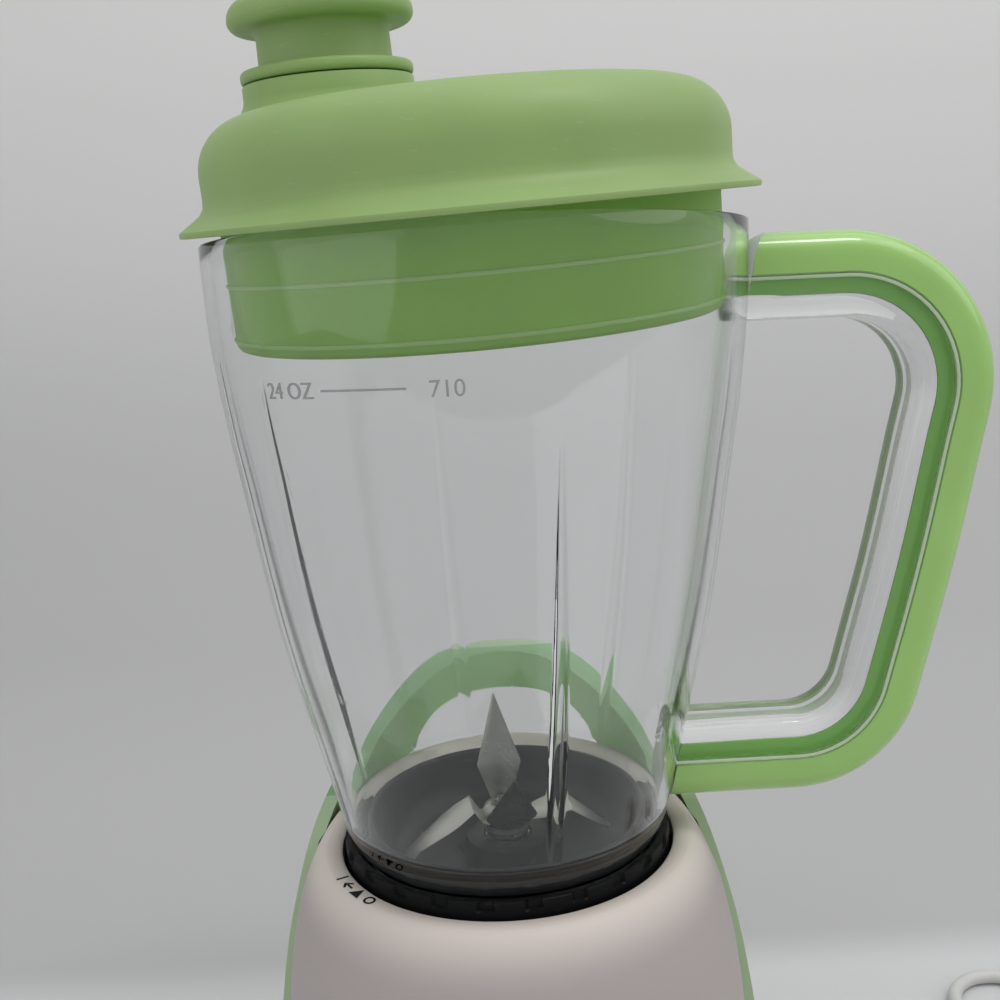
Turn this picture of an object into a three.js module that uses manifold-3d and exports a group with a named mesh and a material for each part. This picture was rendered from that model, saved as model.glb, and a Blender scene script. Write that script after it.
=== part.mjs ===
import * as THREE from 'three';
import { mergeVertices } from 'three/addons/utils/BufferGeometryUtils.js';
import Module from 'manifold-3d';

const wasm = await Module();
wasm.setup();

// Driving sizes, in millimetres. Every height is above the table unless it says otherwise.

const overrun = 2;
const fit = 0.3;

// Power base: a white front shell with the deck, and a green rear shell with the carrying loop
const deckHeight = 118;
const baseHalfWidth = 62.5;
const rearReachExtra = 17;
const shellWall = 2.6;
const deckThickness = 4;
const greenProud = 3.2;
const loopHeight = 30.3;
const loopWall = 7;
const loopSideWall = 3.5;
const windowWidth = 54;
const windowTopWidth = 34;
const windowHeight = 16;
const windowSill = 4;
const windowCorner = 9;
const partingReach = 6;
const shellLap = 8;
const shellBottom = 4.3;
const socketHoleShare = 0.664;
const socketHoleRadius = socketHoleShare * baseHalfWidth;

// Height and half width of the shells, as shares of the deck height and of the base half width
const frontShellShares = [
  [0.036, 0.984], [0.085, 1], [0.32, 0.976], [0.627, 0.93], [0.814, 0.882],
  [0.93, 0.819], [0.98, 0.775], [1, 0.735],
];
// The rear shell's third share is its reach behind the jar's axis
const rearShellShares = [
  [0.036, 1.05, 1.335], [0.085, 1.078, 1.37], [0.32, 1.056, 1.345], [0.627, 0.99, 1.272],
  [0.873, 0.893, 1.166], [1, 0.827, 1.114], [1.152, 0.758, 1.098], [1.3, 0.728, 1.09],
];
// The rear shell's front rim seen from the side: reach behind the axis, and height
const rimReachShares = [0.096, 0.096, 0.13, 0.21, 0.34, 0.5, 0.68, 0.82, 0.94, 1.04, 1.2];
const rimHeightShares = [0, 0.76, 0.9, 0.97, 1.03, 1.086, 1.142, 1.187, 1.225, 1.245, 1.255];

// Base plate, feet and screws
const plateThickness = 3;
const plateRim = 0.4;
const footHeight = 4;
const footRadius = 8;
const footStudRadius = 3;
const footSpreadShare = 0.6;
const ventCount = 7;
const ventWidth = 2.4;
const ventLength = 34;
const ventPitch = 6.2;
const bossRadius = 4.2;
const bossHeight = 30;
const bossWeb = 2;
const screwRadius = 1.6;
const screwHeadRadius = 3.1;
const screwHeadHeight = 1.6;
const screwLength = 16;
const screwSideShare = 0.72;
const frontScrewShare = 0.34;
const rearScrewShare = 0.78;

// Socket cup and interlock
const cupWall = 2.4;
const cupRunning = 0.7;
const cupDepth = 33;
const cupFloor = 3;
const cupFlange = 2.4;
const cupFlangeThickness = 2;
const cupHubHole = 5;
const ringHeight = 5.2;
const ringTopDepth = 20.3;
const ringWidth = 3.3;
const rampHeight = 2.5;
const twistDegrees = 15;
const lugCount = 3;
const lugDegrees = 12;
const lugHeight = 3.6;
const pocketSlackDegrees = 1.2;
const plungerRadius = 2.2;
const plungerCollarRadius = 3.8;
const plungerCollarHeight = 1.5;
const plungerCollarDrop = 0.6;
const plungerLength = 13.6;
const plungerDegrees = [60, 240];
const springRadius = 3.1;
const springWire = 0.9;
const springCurls = 3;
const springCurlSteps = 8;
const springSides = 4;
const springLength = 7;
const switchWidth = 12;
const switchDepth = 6;
const switchHeight = 8;
const switchPost = 3.4;

// Motor
const shaftRadius = 3;
const shaftTail = 4;
const shaftTopDrop = 19.5;
const statorBottomShare = 0.4709;
const statorHeightShare = 0.4586;
const statorHalfWidth = 28;
const statorCorner = 12;
const armatureRadius = 16.4;
const airGap = 0.6;
const armatureSlots = 12;
const armatureSlotDepth = 7;
const armatureSlotWidth = 3;
const commutatorRadius = 9;
const commutatorHeadroom = 2.2;
const brushWidth = 5;
const brushHeightShare = 0.526;
const brushLength = 11;
const brushRiseShare = 0.263;
const brushHolderWall = 1.4;
const lowerBracketShare = 0.20635;
const lowerBracketHeight = 2.6;
const upperBracketDrop = 21;
const upperBracketHeight = 3;
const bracketRadius = 29;
const lowerRingRadius = 17;
const bracketArm = 7;
const postRadius = 2.6;
const postSpread = 37.8;
const bearingRadius = 7;
const bearingHeight = 7;
const bearingCollar = 2;
const fanDrop = 14;
const fanHeight = 9;
const fanRadius = 26;
const fanHub = 8;
const fanBladeCount = 6;
const fanBladeThickness = 1.6;
const fanPlate = 1.6;
const coilThickness = 6;
const coilOverhangShare = 0.0564;
const coilSlackDegrees = 3;
const coilOpeningDegrees = 56;
const couplerDrop = 26.5;
const couplerHeight = 9.5;
const couplerRadius = 8.2;
const couplerTeeth = 6;
const couplerRootRadius = 5.9;
const couplerToothDegrees = 18;
const cupToothRadius = 6.5;
const cupToothDegrees = 18;
const cupToothTurnDegrees = 37.5;
const couplerFlange = 1.8;
// The motor hangs from the socket cup and stands on the base plate, and its core takes the rest
const motorFloor = shellBottom + plateThickness;
const upperBracketBottom = deckHeight - cupDepth - upperBracketDrop;
const fanBottom = deckHeight - cupDepth - fanDrop;
const motorRoom = upperBracketBottom - motorFloor;
const lowerBracketBottom = motorFloor + lowerBracketShare * motorRoom;
const statorBottom = motorFloor + statorBottomShare * motorRoom;
const statorHeight = statorHeightShare * motorRoom;
const coilOverhang = coilOverhangShare * motorRoom;
const commutatorBottom = lowerBracketBottom + lowerBracketHeight + bearingCollar + 2 * fit;
const commutatorHeight = statorBottom - commutatorHeadroom - commutatorBottom;
const brushHeight = brushHeightShare * commutatorHeight;
const brushRise = brushRiseShare * commutatorHeight;
const shaftBottom = lowerBracketBottom - shaftTail;
const shaftTop = deckHeight - shaftTopDrop;
const couplerBottom = deckHeight - couplerDrop;

// Collar, neck and dish, each fitting inside the one before
const collarRunning = 0.9;
const collarWall = 2.4;
const neckRunning = 0.6;
const neckWall = 2.2;
const dishRunning = 0.4;
const dishRimWall = 1.8;
const dishSlopeReach = 5.2;
const bladeRunning = 1;
const collarRadius = socketHoleRadius - collarRunning;
const collarBore = collarRadius - collarWall;
const neckOuterRadius = collarBore - neckRunning;
const neckBore = neckOuterRadius - neckWall;
const dishOuterRadius = neckBore - dishRunning;
const dishRimRadius = dishOuterRadius - dishRimWall;
const dishFloorRadius = dishRimRadius - dishSlopeReach;
const lowerBladeReach = dishFloorRadius - bladeRunning;

// Jar
const jarRimRadius = 61.8;
const jarFootLedge = 2.32;
const jarFoot = neckOuterRadius + jarFootLedge;
const jarWall = 2.4;
const jarShoulderRise = 3.9;
const jarHeight = 142.6;
const neckDepth = 13;
const neckRise = 2.4;
const flareHeight = 3;
const ribCount = 6;
const ribStartDegrees = -75;
const ribWidth = 4.6;
const ribDepth = 4.2;
const ribTopShare = 0.8;
const ribBottomShare = 0.17;
const ribRings = 6;
// Height above the shoulder and way out from the foot to the rim, as shares
const jarShares = [
  [0, 0], [0.045, 0.031], [0.204, 0.277], [0.36, 0.506], [0.513, 0.681],
  [0.67, 0.833], [0.849, 0.969], [1, 1],
];

// Handle: an open D of clear plastic with a green insert in its outer channel
const handleBelowRim = 2.3;
const handleTop = jarShoulderRise + jarHeight - handleBelowRim;
const handleBottom = 8.6;
const handleReach = 119.2;
const handleReachHeight = 102;
const handleLeanDegrees = 13.3;
const handleTopDrop = 0.6;
const handleRootInset = 0.6;
const handleRoot = neckBore + handleRootInset;
const handleTopBend = 36;
const handleBottomBend = 32;
const handleWidth = 17;
const handleEdge = 6;
const capDepth = 9.8;
const tongueDepth = 4;
const tongueWidth = 9;
const webDepth = 5.6;
const insertRootGap = 0.6;
const bendSteps = 6;

// Blade base, seal and blade assembly; heights are above the deck
const collarRise = 3.5;
const collarDrop = 20;
const notchCount = 24;
const notchWidth = 4;
const notchHeight = 1.8;
const notchDepth = 0.7;
const notchBelowRim = 0.5;
const dishRimRise = 6;
const dishFloorDrop = 5;
const dishFilletRise = 1.6;
const dishWall = 2.5;
const dishHubRadius = 10.6;
const dishHubRise = 0.3;
const dishHubFoot = 1.4;
const sealFloorDrop = 11.2;
const sealThickness = 1.4;
const sealRingFloor = 2.4;
const bushHousingRadius = 9;
const bushHousingDrop = 12.6;
const bushRadius = 5.6;
const bladeShaftRadius = 2.6;
const bladeShaftTop = 8.4;
const bladeCouplerRadius = 12;
const bladeCouplerTopDrop = 13.1;
const bladeCouplerWall = 1.6;
const couplerMesh = 0.45;
const spacerRadius = 5.4;
const spacerHeight = 1;
const lowerBladeRise = 1.7;
const bladeThickness = 1.1;
const bladeWidth = 10.8;
const bladeRootWidth = 8.4;
const bladeRootReach = 6.2;
const crossDegrees = 9;
const lowerBladeDrop = 4.2;
const tallBladeReach = 12.5;
const tallBladeRise = 32.6;
const shortBladeReach = 15.5;
const shortBladeRise = 20.6;
const hubNutRadius = 7;
const hubNutHeight = 2.6;
const hubDomeHeight = 1;

// Lid: soft plastic, set down askew on the rim as it lies in the photograph
const lidTiltDegrees = 5.67;
const lidRiseDegrees = 67.3;
const lidSettle = 1.2;
const lidBodyInset = 2.9;
const lidBodyRadius = jarRimRadius - lidBodyInset;
const flangeReach = 5.9;
const flangeRadius = lidBodyRadius + flangeReach;
const flangeThickness = 1.8;
const flangeDroop = 1.1;
const lidHeight = 22.9;
const lidShoulder = 11.6;
const lidCrown = 1;
const lidWall = 2.2;
const lidRootFillet = 2.4;
const plugClearance = 3.2;
const plugRadius = jarRimRadius - jarWall - plugClearance;
const plugDepth = 25.7;
const plugWall = 2.4;
const plugEdge = 2;
const beadProud = 0.4;
const beadHeight = 1.2;
const beadDrops = [11.6, 23.6];
const spoutInset = 28.7;
const spoutOffset = lidBodyRadius - spoutInset;
const spoutDegrees = 167.7;
const spoutRadius = 19.5;
const spoutWall = 2.2;
const spoutHeight = 30.6;
const spoutFlare = 3.4;

// Stopper in the spout
const stopperRingHeight = 2.7;
const stopperNeckRadius = 15.1;
const stopperNeckTop = 14.9;
const stopperNeckHeight = 5.3;
const stopperKnobRadius = 20.8;
const stopperKnobHeight = 9.4;
const stopperKnobEdge = 4.6;
const stopperPlugDepth = 14;
const stopperWall = 2;

// Cord, its strain relief and plug
const cordDiameter = 4.5;
const cordSides = 8;
const cordStepShare = 2;
const cordExitHeight = 14;
const reliefLength = 24;
const reliefRadius = 5;
const reliefTipRadius = 3.6;
const reliefHead = 6.2;
const reliefHeadThickness = 2.4;
const reliefSeat = 1.6;
const reliefRings = 3;
const reliefNeck = 2;
const coilTurnsPerLayer = 2.25;
const coilMiddleRadius = 25;
const coilPitch = 5.1;
const coilLoopSteps = 24;
const coilSides = 6;
const coilX = 30;
const coilY = 146;
const coilStartDegrees = 180;
const coilLayerGap = 0.6;
const lieHeight = 2.3;
const joinGap = 0.3;
const plugLength = 34;
const plugWidth = 20;
const plugHeight = 14;
const plugCorner = 4;
const plugTaper = 9;
const pinLength = 16;
const pinWidth = 6.3;
const pinThickness = 1.5;
const pinSpacing = 12.7;
const facets = 28;
const fineFacets = 32;
const mediumFacets = 24;
const fewFacets = 16;
const smallFacets = 12;
const tinyFacets = 8;

// Helpers on solids

function outward(geometry) {
  const p = geometry.attributes.position;
  const index = geometry.index.array;
  let volume = 0;
  const a = new THREE.Vector3();
  const b = new THREE.Vector3();
  const c = new THREE.Vector3();
  for (let i = 0; i < index.length; i += 3) {
    a.fromBufferAttribute(p, index[i]);
    b.fromBufferAttribute(p, index[i + 1]);
    c.fromBufferAttribute(p, index[i + 2]);
    volume += a.dot(b.cross(c));
  }
  if (volume < 0) {
    for (let i = 0; i < index.length; i += 3) {
      const swap = index[i];
      index[i] = index[i + 1];
      index[i + 1] = swap;
    }
  }
  return geometry;
}

function closed(geometry) {
  const plain = geometry.clone();
  plain.deleteAttribute('normal');
  plain.deleteAttribute('uv');
  return outward(mergeVertices(plain, 1e-4));
}

function solid(geometry) {
  const shape = closed(geometry);
  return new wasm.Manifold(new wasm.Mesh({
    numProp: 3,
    vertProperties: new Float32Array(shape.attributes.position.array),
    triVerts: new Uint32Array(shape.index.array),
  }));
}

function geometryOf(manifold) {
  const mesh = manifold.getMesh();
  const geometry = new THREE.BufferGeometry();
  geometry.setAttribute('position', new THREE.BufferAttribute(new Float32Array(mesh.vertProperties), 3));
  geometry.setIndex(new THREE.BufferAttribute(new Uint32Array(mesh.triVerts), 1));
  geometry.computeVertexNormals();
  return geometry;
}

function placed(geometry, x, y, z) {
  return geometry.translate(x, y, z);
}

// A profile of radius and height pairs turned about the vertical axis
function turned(profile, sides = facets) {
  const points = profile.map(([r, z]) => new THREE.Vector2(r, z));
  return new THREE.LatheGeometry(points, sides).rotateX(Math.PI / 2);
}

function ring(inner, outer, bottom, top, sides = facets) {
  return turned([[inner, bottom], [outer, bottom], [outer, top], [inner, top], [inner, bottom]], sides);
}

function disc(radius, bottom, top, sides = facets) {
  return turned([[0, bottom], [radius, bottom], [radius, top], [0, top]], sides);
}

function block(width, depth, height, x, y, bottom) {
  return placed(new THREE.BoxGeometry(width, depth, height), x, y, bottom + height / 2);
}

function outline(points) {
  return new THREE.Shape(points.map(([x, y]) => new THREE.Vector2(x, y)));
}

function raised(shape, bottom, top, steps = 6) {
  const geometry = new THREE.ExtrudeGeometry(shape, {
    depth: top - bottom, bevelEnabled: false, curveSegments: steps,
  });
  return placed(geometry, 0, 0, bottom);
}

// An outline drawn in the side view (reach behind the axis, height) made a bar along X
function sideBar(shape, halfLength) {
  const geometry = new THREE.ExtrudeGeometry(shape, { depth: 2 * halfLength, bevelEnabled: false });
  const turn = new THREE.Matrix4().makeBasis(
    new THREE.Vector3(0, 1, 0), new THREE.Vector3(0, 0, 1), new THREE.Vector3(1, 0, 0));
  return placed(geometry.applyMatrix4(turn), -halfLength, 0, 0);
}

// An outline drawn in the front view (width, height) made a bar from one depth to another
function frontBar(shape, nearY, farY, steps = 6) {
  const geometry = new THREE.ExtrudeGeometry(shape, {
    depth: farY - nearY, bevelEnabled: false, curveSegments: steps,
  });
  const turn = new THREE.Matrix4().makeBasis(
    new THREE.Vector3(1, 0, 0), new THREE.Vector3(0, 0, 1), new THREE.Vector3(0, -1, 0));
  return placed(geometry.applyMatrix4(turn), 0, farY, 0);
}

// Rings of equal point counts joined into one closed skin
function loft(rings) {
  const count = rings[0].length;
  const positions = [];
  const index = [];
  for (const points of rings) {
    for (const p of points) {
      positions.push(p[0], p[1], p[2]);
    }
  }
  for (let level = 0; level + 1 < rings.length; level += 1) {
    for (let i = 0; i < count; i += 1) {
      const a = level * count + i;
      const b = level * count + (i + 1) % count;
      index.push(a, b, a + count, b, b + count, a + count);
    }
  }
  for (const level of [0, rings.length - 1]) {
    const middle = positions.length / 3;
    const sum = [0, 0, 0];
    for (const p of rings[level]) {
      sum[0] += p[0] / count;
      sum[1] += p[1] / count;
      sum[2] += p[2] / count;
    }
    positions.push(...sum);
    for (let i = 0; i < count; i += 1) {
      const a = level * count + i;
      const b = level * count + (i + 1) % count;
      if (level === 0) {
        index.push(b, a, middle);
      } else {
        index.push(a, b, middle);
      }
    }
  }
  const geometry = new THREE.BufferGeometry();
  geometry.setAttribute('position', new THREE.Float32BufferAttribute(positions, 3));
  geometry.setIndex(index);
  return geometry;
}

function radians(degrees) {
  return THREE.MathUtils.degToRad(degrees);
}

function polar(radius, degrees) {
  return [radius * Math.cos(radians(degrees)), radius * Math.sin(radians(degrees))];
}

// A rounded-off circle: a half circle to the front and a half ellipse to the rear
function eggRing(side, front, rear, z, sides = facets) {
  const points = [];
  for (let i = 0; i < sides; i += 1) {
    const angle = (2 * Math.PI * i) / sides;
    const reach = Math.sin(angle) < 0 ? front : rear;
    points.push([side * Math.cos(angle), reach * Math.sin(angle), z]);
  }
  return points;
}

function between(table, at, column) {
  for (let i = 0; i + 1 < table.length; i += 1) {
    if (at <= table[i + 1][0]) {
      const share = (at - table[i][0]) / (table[i + 1][0] - table[i][0]);
      return table[i][column] + share * (table[i + 1][column] - table[i][column]);
    }
  }
  return table[table.length - 1][column];
}

// A tube of round section along a curve, closed at both ends
function tube(curve, radius, sides, steps) {
  const section = new THREE.Shape();
  for (let i = 0; i <= sides; i += 1) {
    const angle = (2 * Math.PI * i) / sides;
    const x = radius * Math.cos(angle);
    const y = radius * Math.sin(angle);
    if (i === 0) {
      section.moveTo(x, y);
    } else {
      section.lineTo(x, y);
    }
  }
  return new THREE.ExtrudeGeometry(section, { steps, extrudePath: curve, bevelEnabled: false });
}

// The assembly

const assembly = new THREE.Group();
const cordGroup = new THREE.Group();

function finish(name, colour, roughness, metalness = 0) {
  const material = new THREE.MeshStandardMaterial({ color: colour, roughness, metalness });
  material.name = name;
  return material;
}

const whiteShell = () => finish('white_shell', 0xd9d2cc, 0.5);
const greenShell = () => finish('green_shell', 0x8fbf72, 0.45);
const greenLid = () => finish('green_lid', 0x9cc36c, 0.6);
const blackPlastic = () => finish('black_plastic', 0x26282a, 0.5);
const clearPlastic = () => finish('clear_plastic', 0xdfe6e6, 0.1);
const greyRubber = () => finish('grey_rubber', 0x6f7371, 0.8);
const steel = () => finish('steel', 0xa8a49c, 0.3, 1);
const darkSteel = () => finish('dark_steel', 0x5c5f62, 0.45, 1);
const copper = () => finish('copper', 0xb06a3a, 0.4, 1);
const whiteCord = () => finish('white_cord', 0xe2e1de, 0.55);

function add(name, shape, material, group = assembly) {
  const geometry = shape instanceof THREE.BufferGeometry ? closed(shape) : geometryOf(shape);
  geometry.computeVertexNormals();
  const mesh = new THREE.Mesh(geometry, material);
  mesh.name = name;
  group.add(mesh);
  return mesh;
}

// Base shells

function frontRings(inset, bottom, top, sides = facets) {
  const heights = frontShellShares.map((row) => row[0] * deckHeight);
  const levels = [bottom, ...heights.filter((z) => z > bottom + fit && z < top - fit), top];
  return levels.map((z) => {
    const side = between(frontShellShares, z / deckHeight, 1) * baseHalfWidth - inset;
    return eggRing(side, side, side + rearReachExtra, z, sides);
  });
}

function rearRings(sideInset, rearInset, bottom, top, sides = facets) {
  const heights = rearShellShares.map((row) => row[0] * deckHeight);
  const levels = [bottom, ...heights.filter((z) => z > bottom + fit && z < top - fit), top];
  return levels.map((z) => {
    const side = between(rearShellShares, z / deckHeight, 1) * baseHalfWidth - sideInset;
    const rear = between(rearShellShares, z / deckHeight, 2) * baseHalfWidth - rearInset;
    return eggRing(side, side, rear, z, sides);
  });
}

function rimCurve() {
  const points = rimReachShares.map((share, i) =>
    new THREE.Vector2(share * baseHalfWidth, rimHeightShares[i] * deckHeight));
  return points;
}

const loopTop = deckHeight + loopHeight;
const baseBack = baseHalfWidth + rearReachExtra + loopWall;
const screwSpots = [];
for (const sideSign of [-1, 1]) {
  screwSpots.push([sideSign * frontScrewShare * baseHalfWidth, -screwSideShare * baseHalfWidth, false]);
  screwSpots.push([sideSign * frontScrewShare * baseHalfWidth, rearScrewShare * baseBack, true]);
}

function screwBoss(x, y) {
  const bottom = shellBottom + plateThickness + fit;
  const post = placed(disc(bossRadius, bottom, bottom + bossHeight, 12), x, y, 0);
  const pilot = placed(disc(screwRadius + fit, bottom - overrun, bottom + screwLength + fit, tinyFacets), x, y, 0);
  const webReach = baseBack;
  const web = block(bossWeb, webReach, bossHeight, x, y + Math.sign(y) * webReach / 2, bottom);
  return solid(post).add(solid(web)).subtract(solid(pilot));
}

function buildFrontShell() {
  const outer = solid(loft(frontRings(0, shellBottom, deckHeight)));
  const inner = solid(loft(frontRings(shellWall, shellBottom - overrun, deckHeight - deckThickness)));
  let shell = outer.subtract(inner);
  const hole = solid(disc(socketHoleRadius, deckHeight - deckThickness - overrun, deckHeight + overrun));
  shell = shell.subtract(hole);
  const lapEdge = partingReach + shellLap;
  const half = 2 * baseBack;
  const rearCut = solid(block(half, half, deckHeight - deckThickness, 0, lapEdge + half / 2, 0));
  shell = shell.subtract(rearCut);
  const bosses = screwSpots.filter((spot) => !spot[2]);
  for (const [x, y] of bosses) {
    shell = shell.add(screwBoss(x, y).intersect(outer));
  }
  add('front_shell', shell, whiteShell());
}

function windowShape() {
  const bottom = deckHeight - windowSill;
  const top = deckHeight + windowHeight;
  const low = windowWidth / 2;
  const high = windowTopWidth / 2;
  const shape = new THREE.Shape();
  shape.moveTo(-low, bottom);
  shape.lineTo(low, bottom);
  shape.lineTo(high + (low - high) * windowCorner / windowHeight, top - windowCorner);
  shape.quadraticCurveTo(high, top, high - windowCorner, top);
  shape.lineTo(windowCorner - high, top);
  shape.quadraticCurveTo(-high, top, -high - (low - high) * windowCorner / windowHeight, top - windowCorner);
  return shape;
}

function buildRearShell() {
  const outer = solid(loft(rearRings(0, 0, shellBottom, loopTop + overrun)));
  const bodyTop = deckHeight - deckThickness - windowSill;
  const lower = solid(loft(rearRings(shellWall, shellWall, shellBottom - overrun, bodyTop)));
  const upper = solid(loft(rearRings(loopSideWall, loopWall, bodyTop - fit, loopTop + 2 * overrun)));
  const deckRoom = solid(loft(frontRings(-fit, shellBottom - overrun, deckHeight - fit)));
  const deckTop = deckHeight - deckThickness - fit;
  const deckSlice = solid(block(2 * baseBack, 4 * baseBack, deckThickness + 2 * fit, 0, 0, deckTop));
  const lapRoom = solid(block(2 * baseBack, 2 * baseBack, deckHeight, 0, partingReach + shellLap + fit - baseBack, 0));
  let shell = outer.subtract(lower).subtract(upper);
  shell = shell.subtract(deckRoom.intersect(deckSlice.add(lapRoom)));
  const rim = rimCurve().map((p) => [p.x, p.y]);
  const far = 2 * baseBack;
  const cut = [[-far, -overrun], ...rim, [far, rim[rim.length - 1][1]], [far, 2 * loopTop], [-far, 2 * loopTop]];
  cut[1][1] = -overrun;
  shell = shell.subtract(solid(sideBar(outline(cut), far)));
  shell = shell.subtract(solid(frontBar(windowShape(), baseHalfWidth / 2, far)));
  const bosses = screwSpots.filter((spot) => spot[2]);
  for (const [x, y] of bosses) {
    shell = shell.add(screwBoss(x, y).intersect(outer));
  }
  const gland = placed(disc(reliefRadius, -far, far, fewFacets).rotateX(Math.PI / 2),
    0, partingReach + far, cordExitHeight);
  shell = shell.subtract(solid(gland));
  add('rear_shell', shell, greenShell());
}

function plateSolid(inset, bottom, top) {
  const side = frontShellShares[0][1] * baseHalfWidth - shellWall - inset;
  const wide = rearShellShares[0][1] * baseHalfWidth - shellWall - inset;
  const rear = rearShellShares[0][2] * baseHalfWidth - shellWall - inset;
  const front = solid(loft([eggRing(side, side, rear, bottom), eggRing(side, side, rear, top)]));
  const back = solid(loft([eggRing(wide, wide, rear, bottom), eggRing(wide, wide, rear, top)]));
  const edge = partingReach + shellLap + fit + baseBack;
  const half = solid(block(2 * baseBack, 2 * baseBack, top - bottom, 0, edge, bottom));
  return front.add(back.intersect(half));
}

const plateBottom = shellBottom;
const plateTop = shellBottom + plateThickness;

function buildBottom() {
  let plate = plateSolid(plateRim, plateBottom, plateTop);
  const slotBottom = plateBottom - overrun;
  const slotHeight = plateThickness + 2 * overrun;
  for (let i = 0; i < ventCount; i += 1) {
    const y = (i - (ventCount - 1) / 2) * ventPitch;
    plate = plate.subtract(solid(block(ventLength, ventWidth, slotHeight, 0, y, slotBottom)));
  }
  const feet = [];
  for (const sx of [-1, 1]) {
    feet.push([sx * footSpreadShare * baseHalfWidth, -footSpreadShare * baseHalfWidth]);
    feet.push([sx * footSpreadShare * baseHalfWidth, footSpreadShare * baseBack]);
  }
  for (const [x, y] of feet) {
    plate = plate.subtract(solid(placed(disc(footStudRadius + fit, slotBottom, plateTop + overrun, smallFacets), x, y, 0)));
  }
  for (const [x, y] of screwSpots) {
    plate = plate.subtract(solid(placed(disc(screwRadius + fit, slotBottom, plateTop + overrun, tinyFacets), x, y, 0)));
    const seat = plateBottom + screwHeadHeight + fit;
    plate = plate.subtract(solid(placed(disc(screwHeadRadius + fit, slotBottom, seat, smallFacets), x, y, 0)));
  }
  add('bottom_plate', plate, whiteShell());
  feet.forEach(([x, y], i) => {
    const under = plateBottom - fit;
    const profile = [[0, 0], [footRadius - fit, 0], [footRadius, under / 3], [footRadius, under],
      [footStudRadius, under], [footStudRadius, plateTop + fit], [0, plateTop + fit]];
    add(`rubber_foot_${i + 1}`, placed(turned(profile, smallFacets), x, y, 0), greyRubber());
  });
  screwSpots.forEach(([x, y], i) => {
    const head = plateBottom + screwHeadHeight;
    const profile = [[0, plateBottom], [screwHeadRadius, plateBottom], [screwHeadRadius, head],
      [screwRadius, head], [screwRadius, head + screwLength], [0, head + screwLength]];
    add(`base_screw_${i + 1}`, placed(turned(profile, tinyFacets), x, y, 0), steel());
  });
}

// Socket, interlock and switches

const cupBore = socketHoleRadius;
const cupTop = deckHeight - deckThickness - fit;
const cupFloorTop = deckHeight - cupDepth + cupFloor;
const cupBottom = deckHeight - cupDepth;
const ringTop = deckHeight - ringTopDepth;
const ringBottom = ringTop - ringHeight;
const ringOuter = collarRadius + fit;
const ringInner = ringOuter - ringWidth;
const plungerPath = ringInner + plungerRadius / 2;
const plungerTop = ringBottom - fit;
const springTop = cupBottom - plungerCollarDrop - plungerCollarHeight - fit;
const switchTop = springTop - springLength - fit;

function buildSocket() {
  const outer = cupBore + cupWall;
  let cup = solid(turned([
    [cupHubHole, cupBottom], [outer, cupBottom], [outer, cupTop - cupFlangeThickness],
    [outer + cupFlange, cupTop - cupFlangeThickness], [outer + cupFlange, cupTop],
    [cupBore, cupTop], [cupBore, cupFloorTop], [cupHubHole, cupFloorTop], [cupHubHole, cupBottom],
  ]));
  for (const degrees of plungerDegrees) {
    const [x, y] = polar(plungerPath, degrees);
    cup = cup.subtract(solid(placed(disc(plungerRadius + fit, cupBottom - overrun, cupFloorTop + overrun, smallFacets), x, y, 0)));
    const post = block(switchPost, switchDepth, cupBottom - switchTop + switchHeight + fit,
      0, plungerPath, switchTop - switchHeight);
    post.translate(-switchWidth / 2 - switchPost / 2 - fit, 0, 0).rotateZ(radians(degrees - 90));
    cup = cup.add(solid(post));
  }
  add('socket_cup', cup, blackPlastic());
}

function lugShape(degrees, inner, outer) {
  const shape = new THREE.Shape();
  shape.absarc(0, 0, outer, -radians(degrees / 2), radians(degrees / 2), false);
  shape.absarc(0, 0, inner, radians(degrees / 2), -radians(degrees / 2), true);
  return shape;
}

// A ramp under the ring, deepening over the twist, so that a turn pushes its plunger down
function rampSolid(startDegrees) {
  const steps = 5;
  const length = twistDegrees + lugDegrees;
  const inner = plungerPath - plungerRadius / 2;
  const outer = plungerPath + plungerRadius / 2;
  const rings = [];
  for (let i = 0; i <= steps; i += 1) {
    const along = startDegrees + (length * i) / steps;
    const depth = Math.min(rampHeight, (rampHeight * length * i) / (steps * twistDegrees));
    const low = ringBottom - Math.max(depth, fit / 2);
    const [x0, y0] = polar(inner, along);
    const [x1, y1] = polar(outer, along);
    rings.push([[x0, y0, low], [x1, y1, low], [x1, y1, ringBottom + fit], [x0, y0, ringBottom + fit]]);
  }
  return solid(loft(rings));
}

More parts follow.
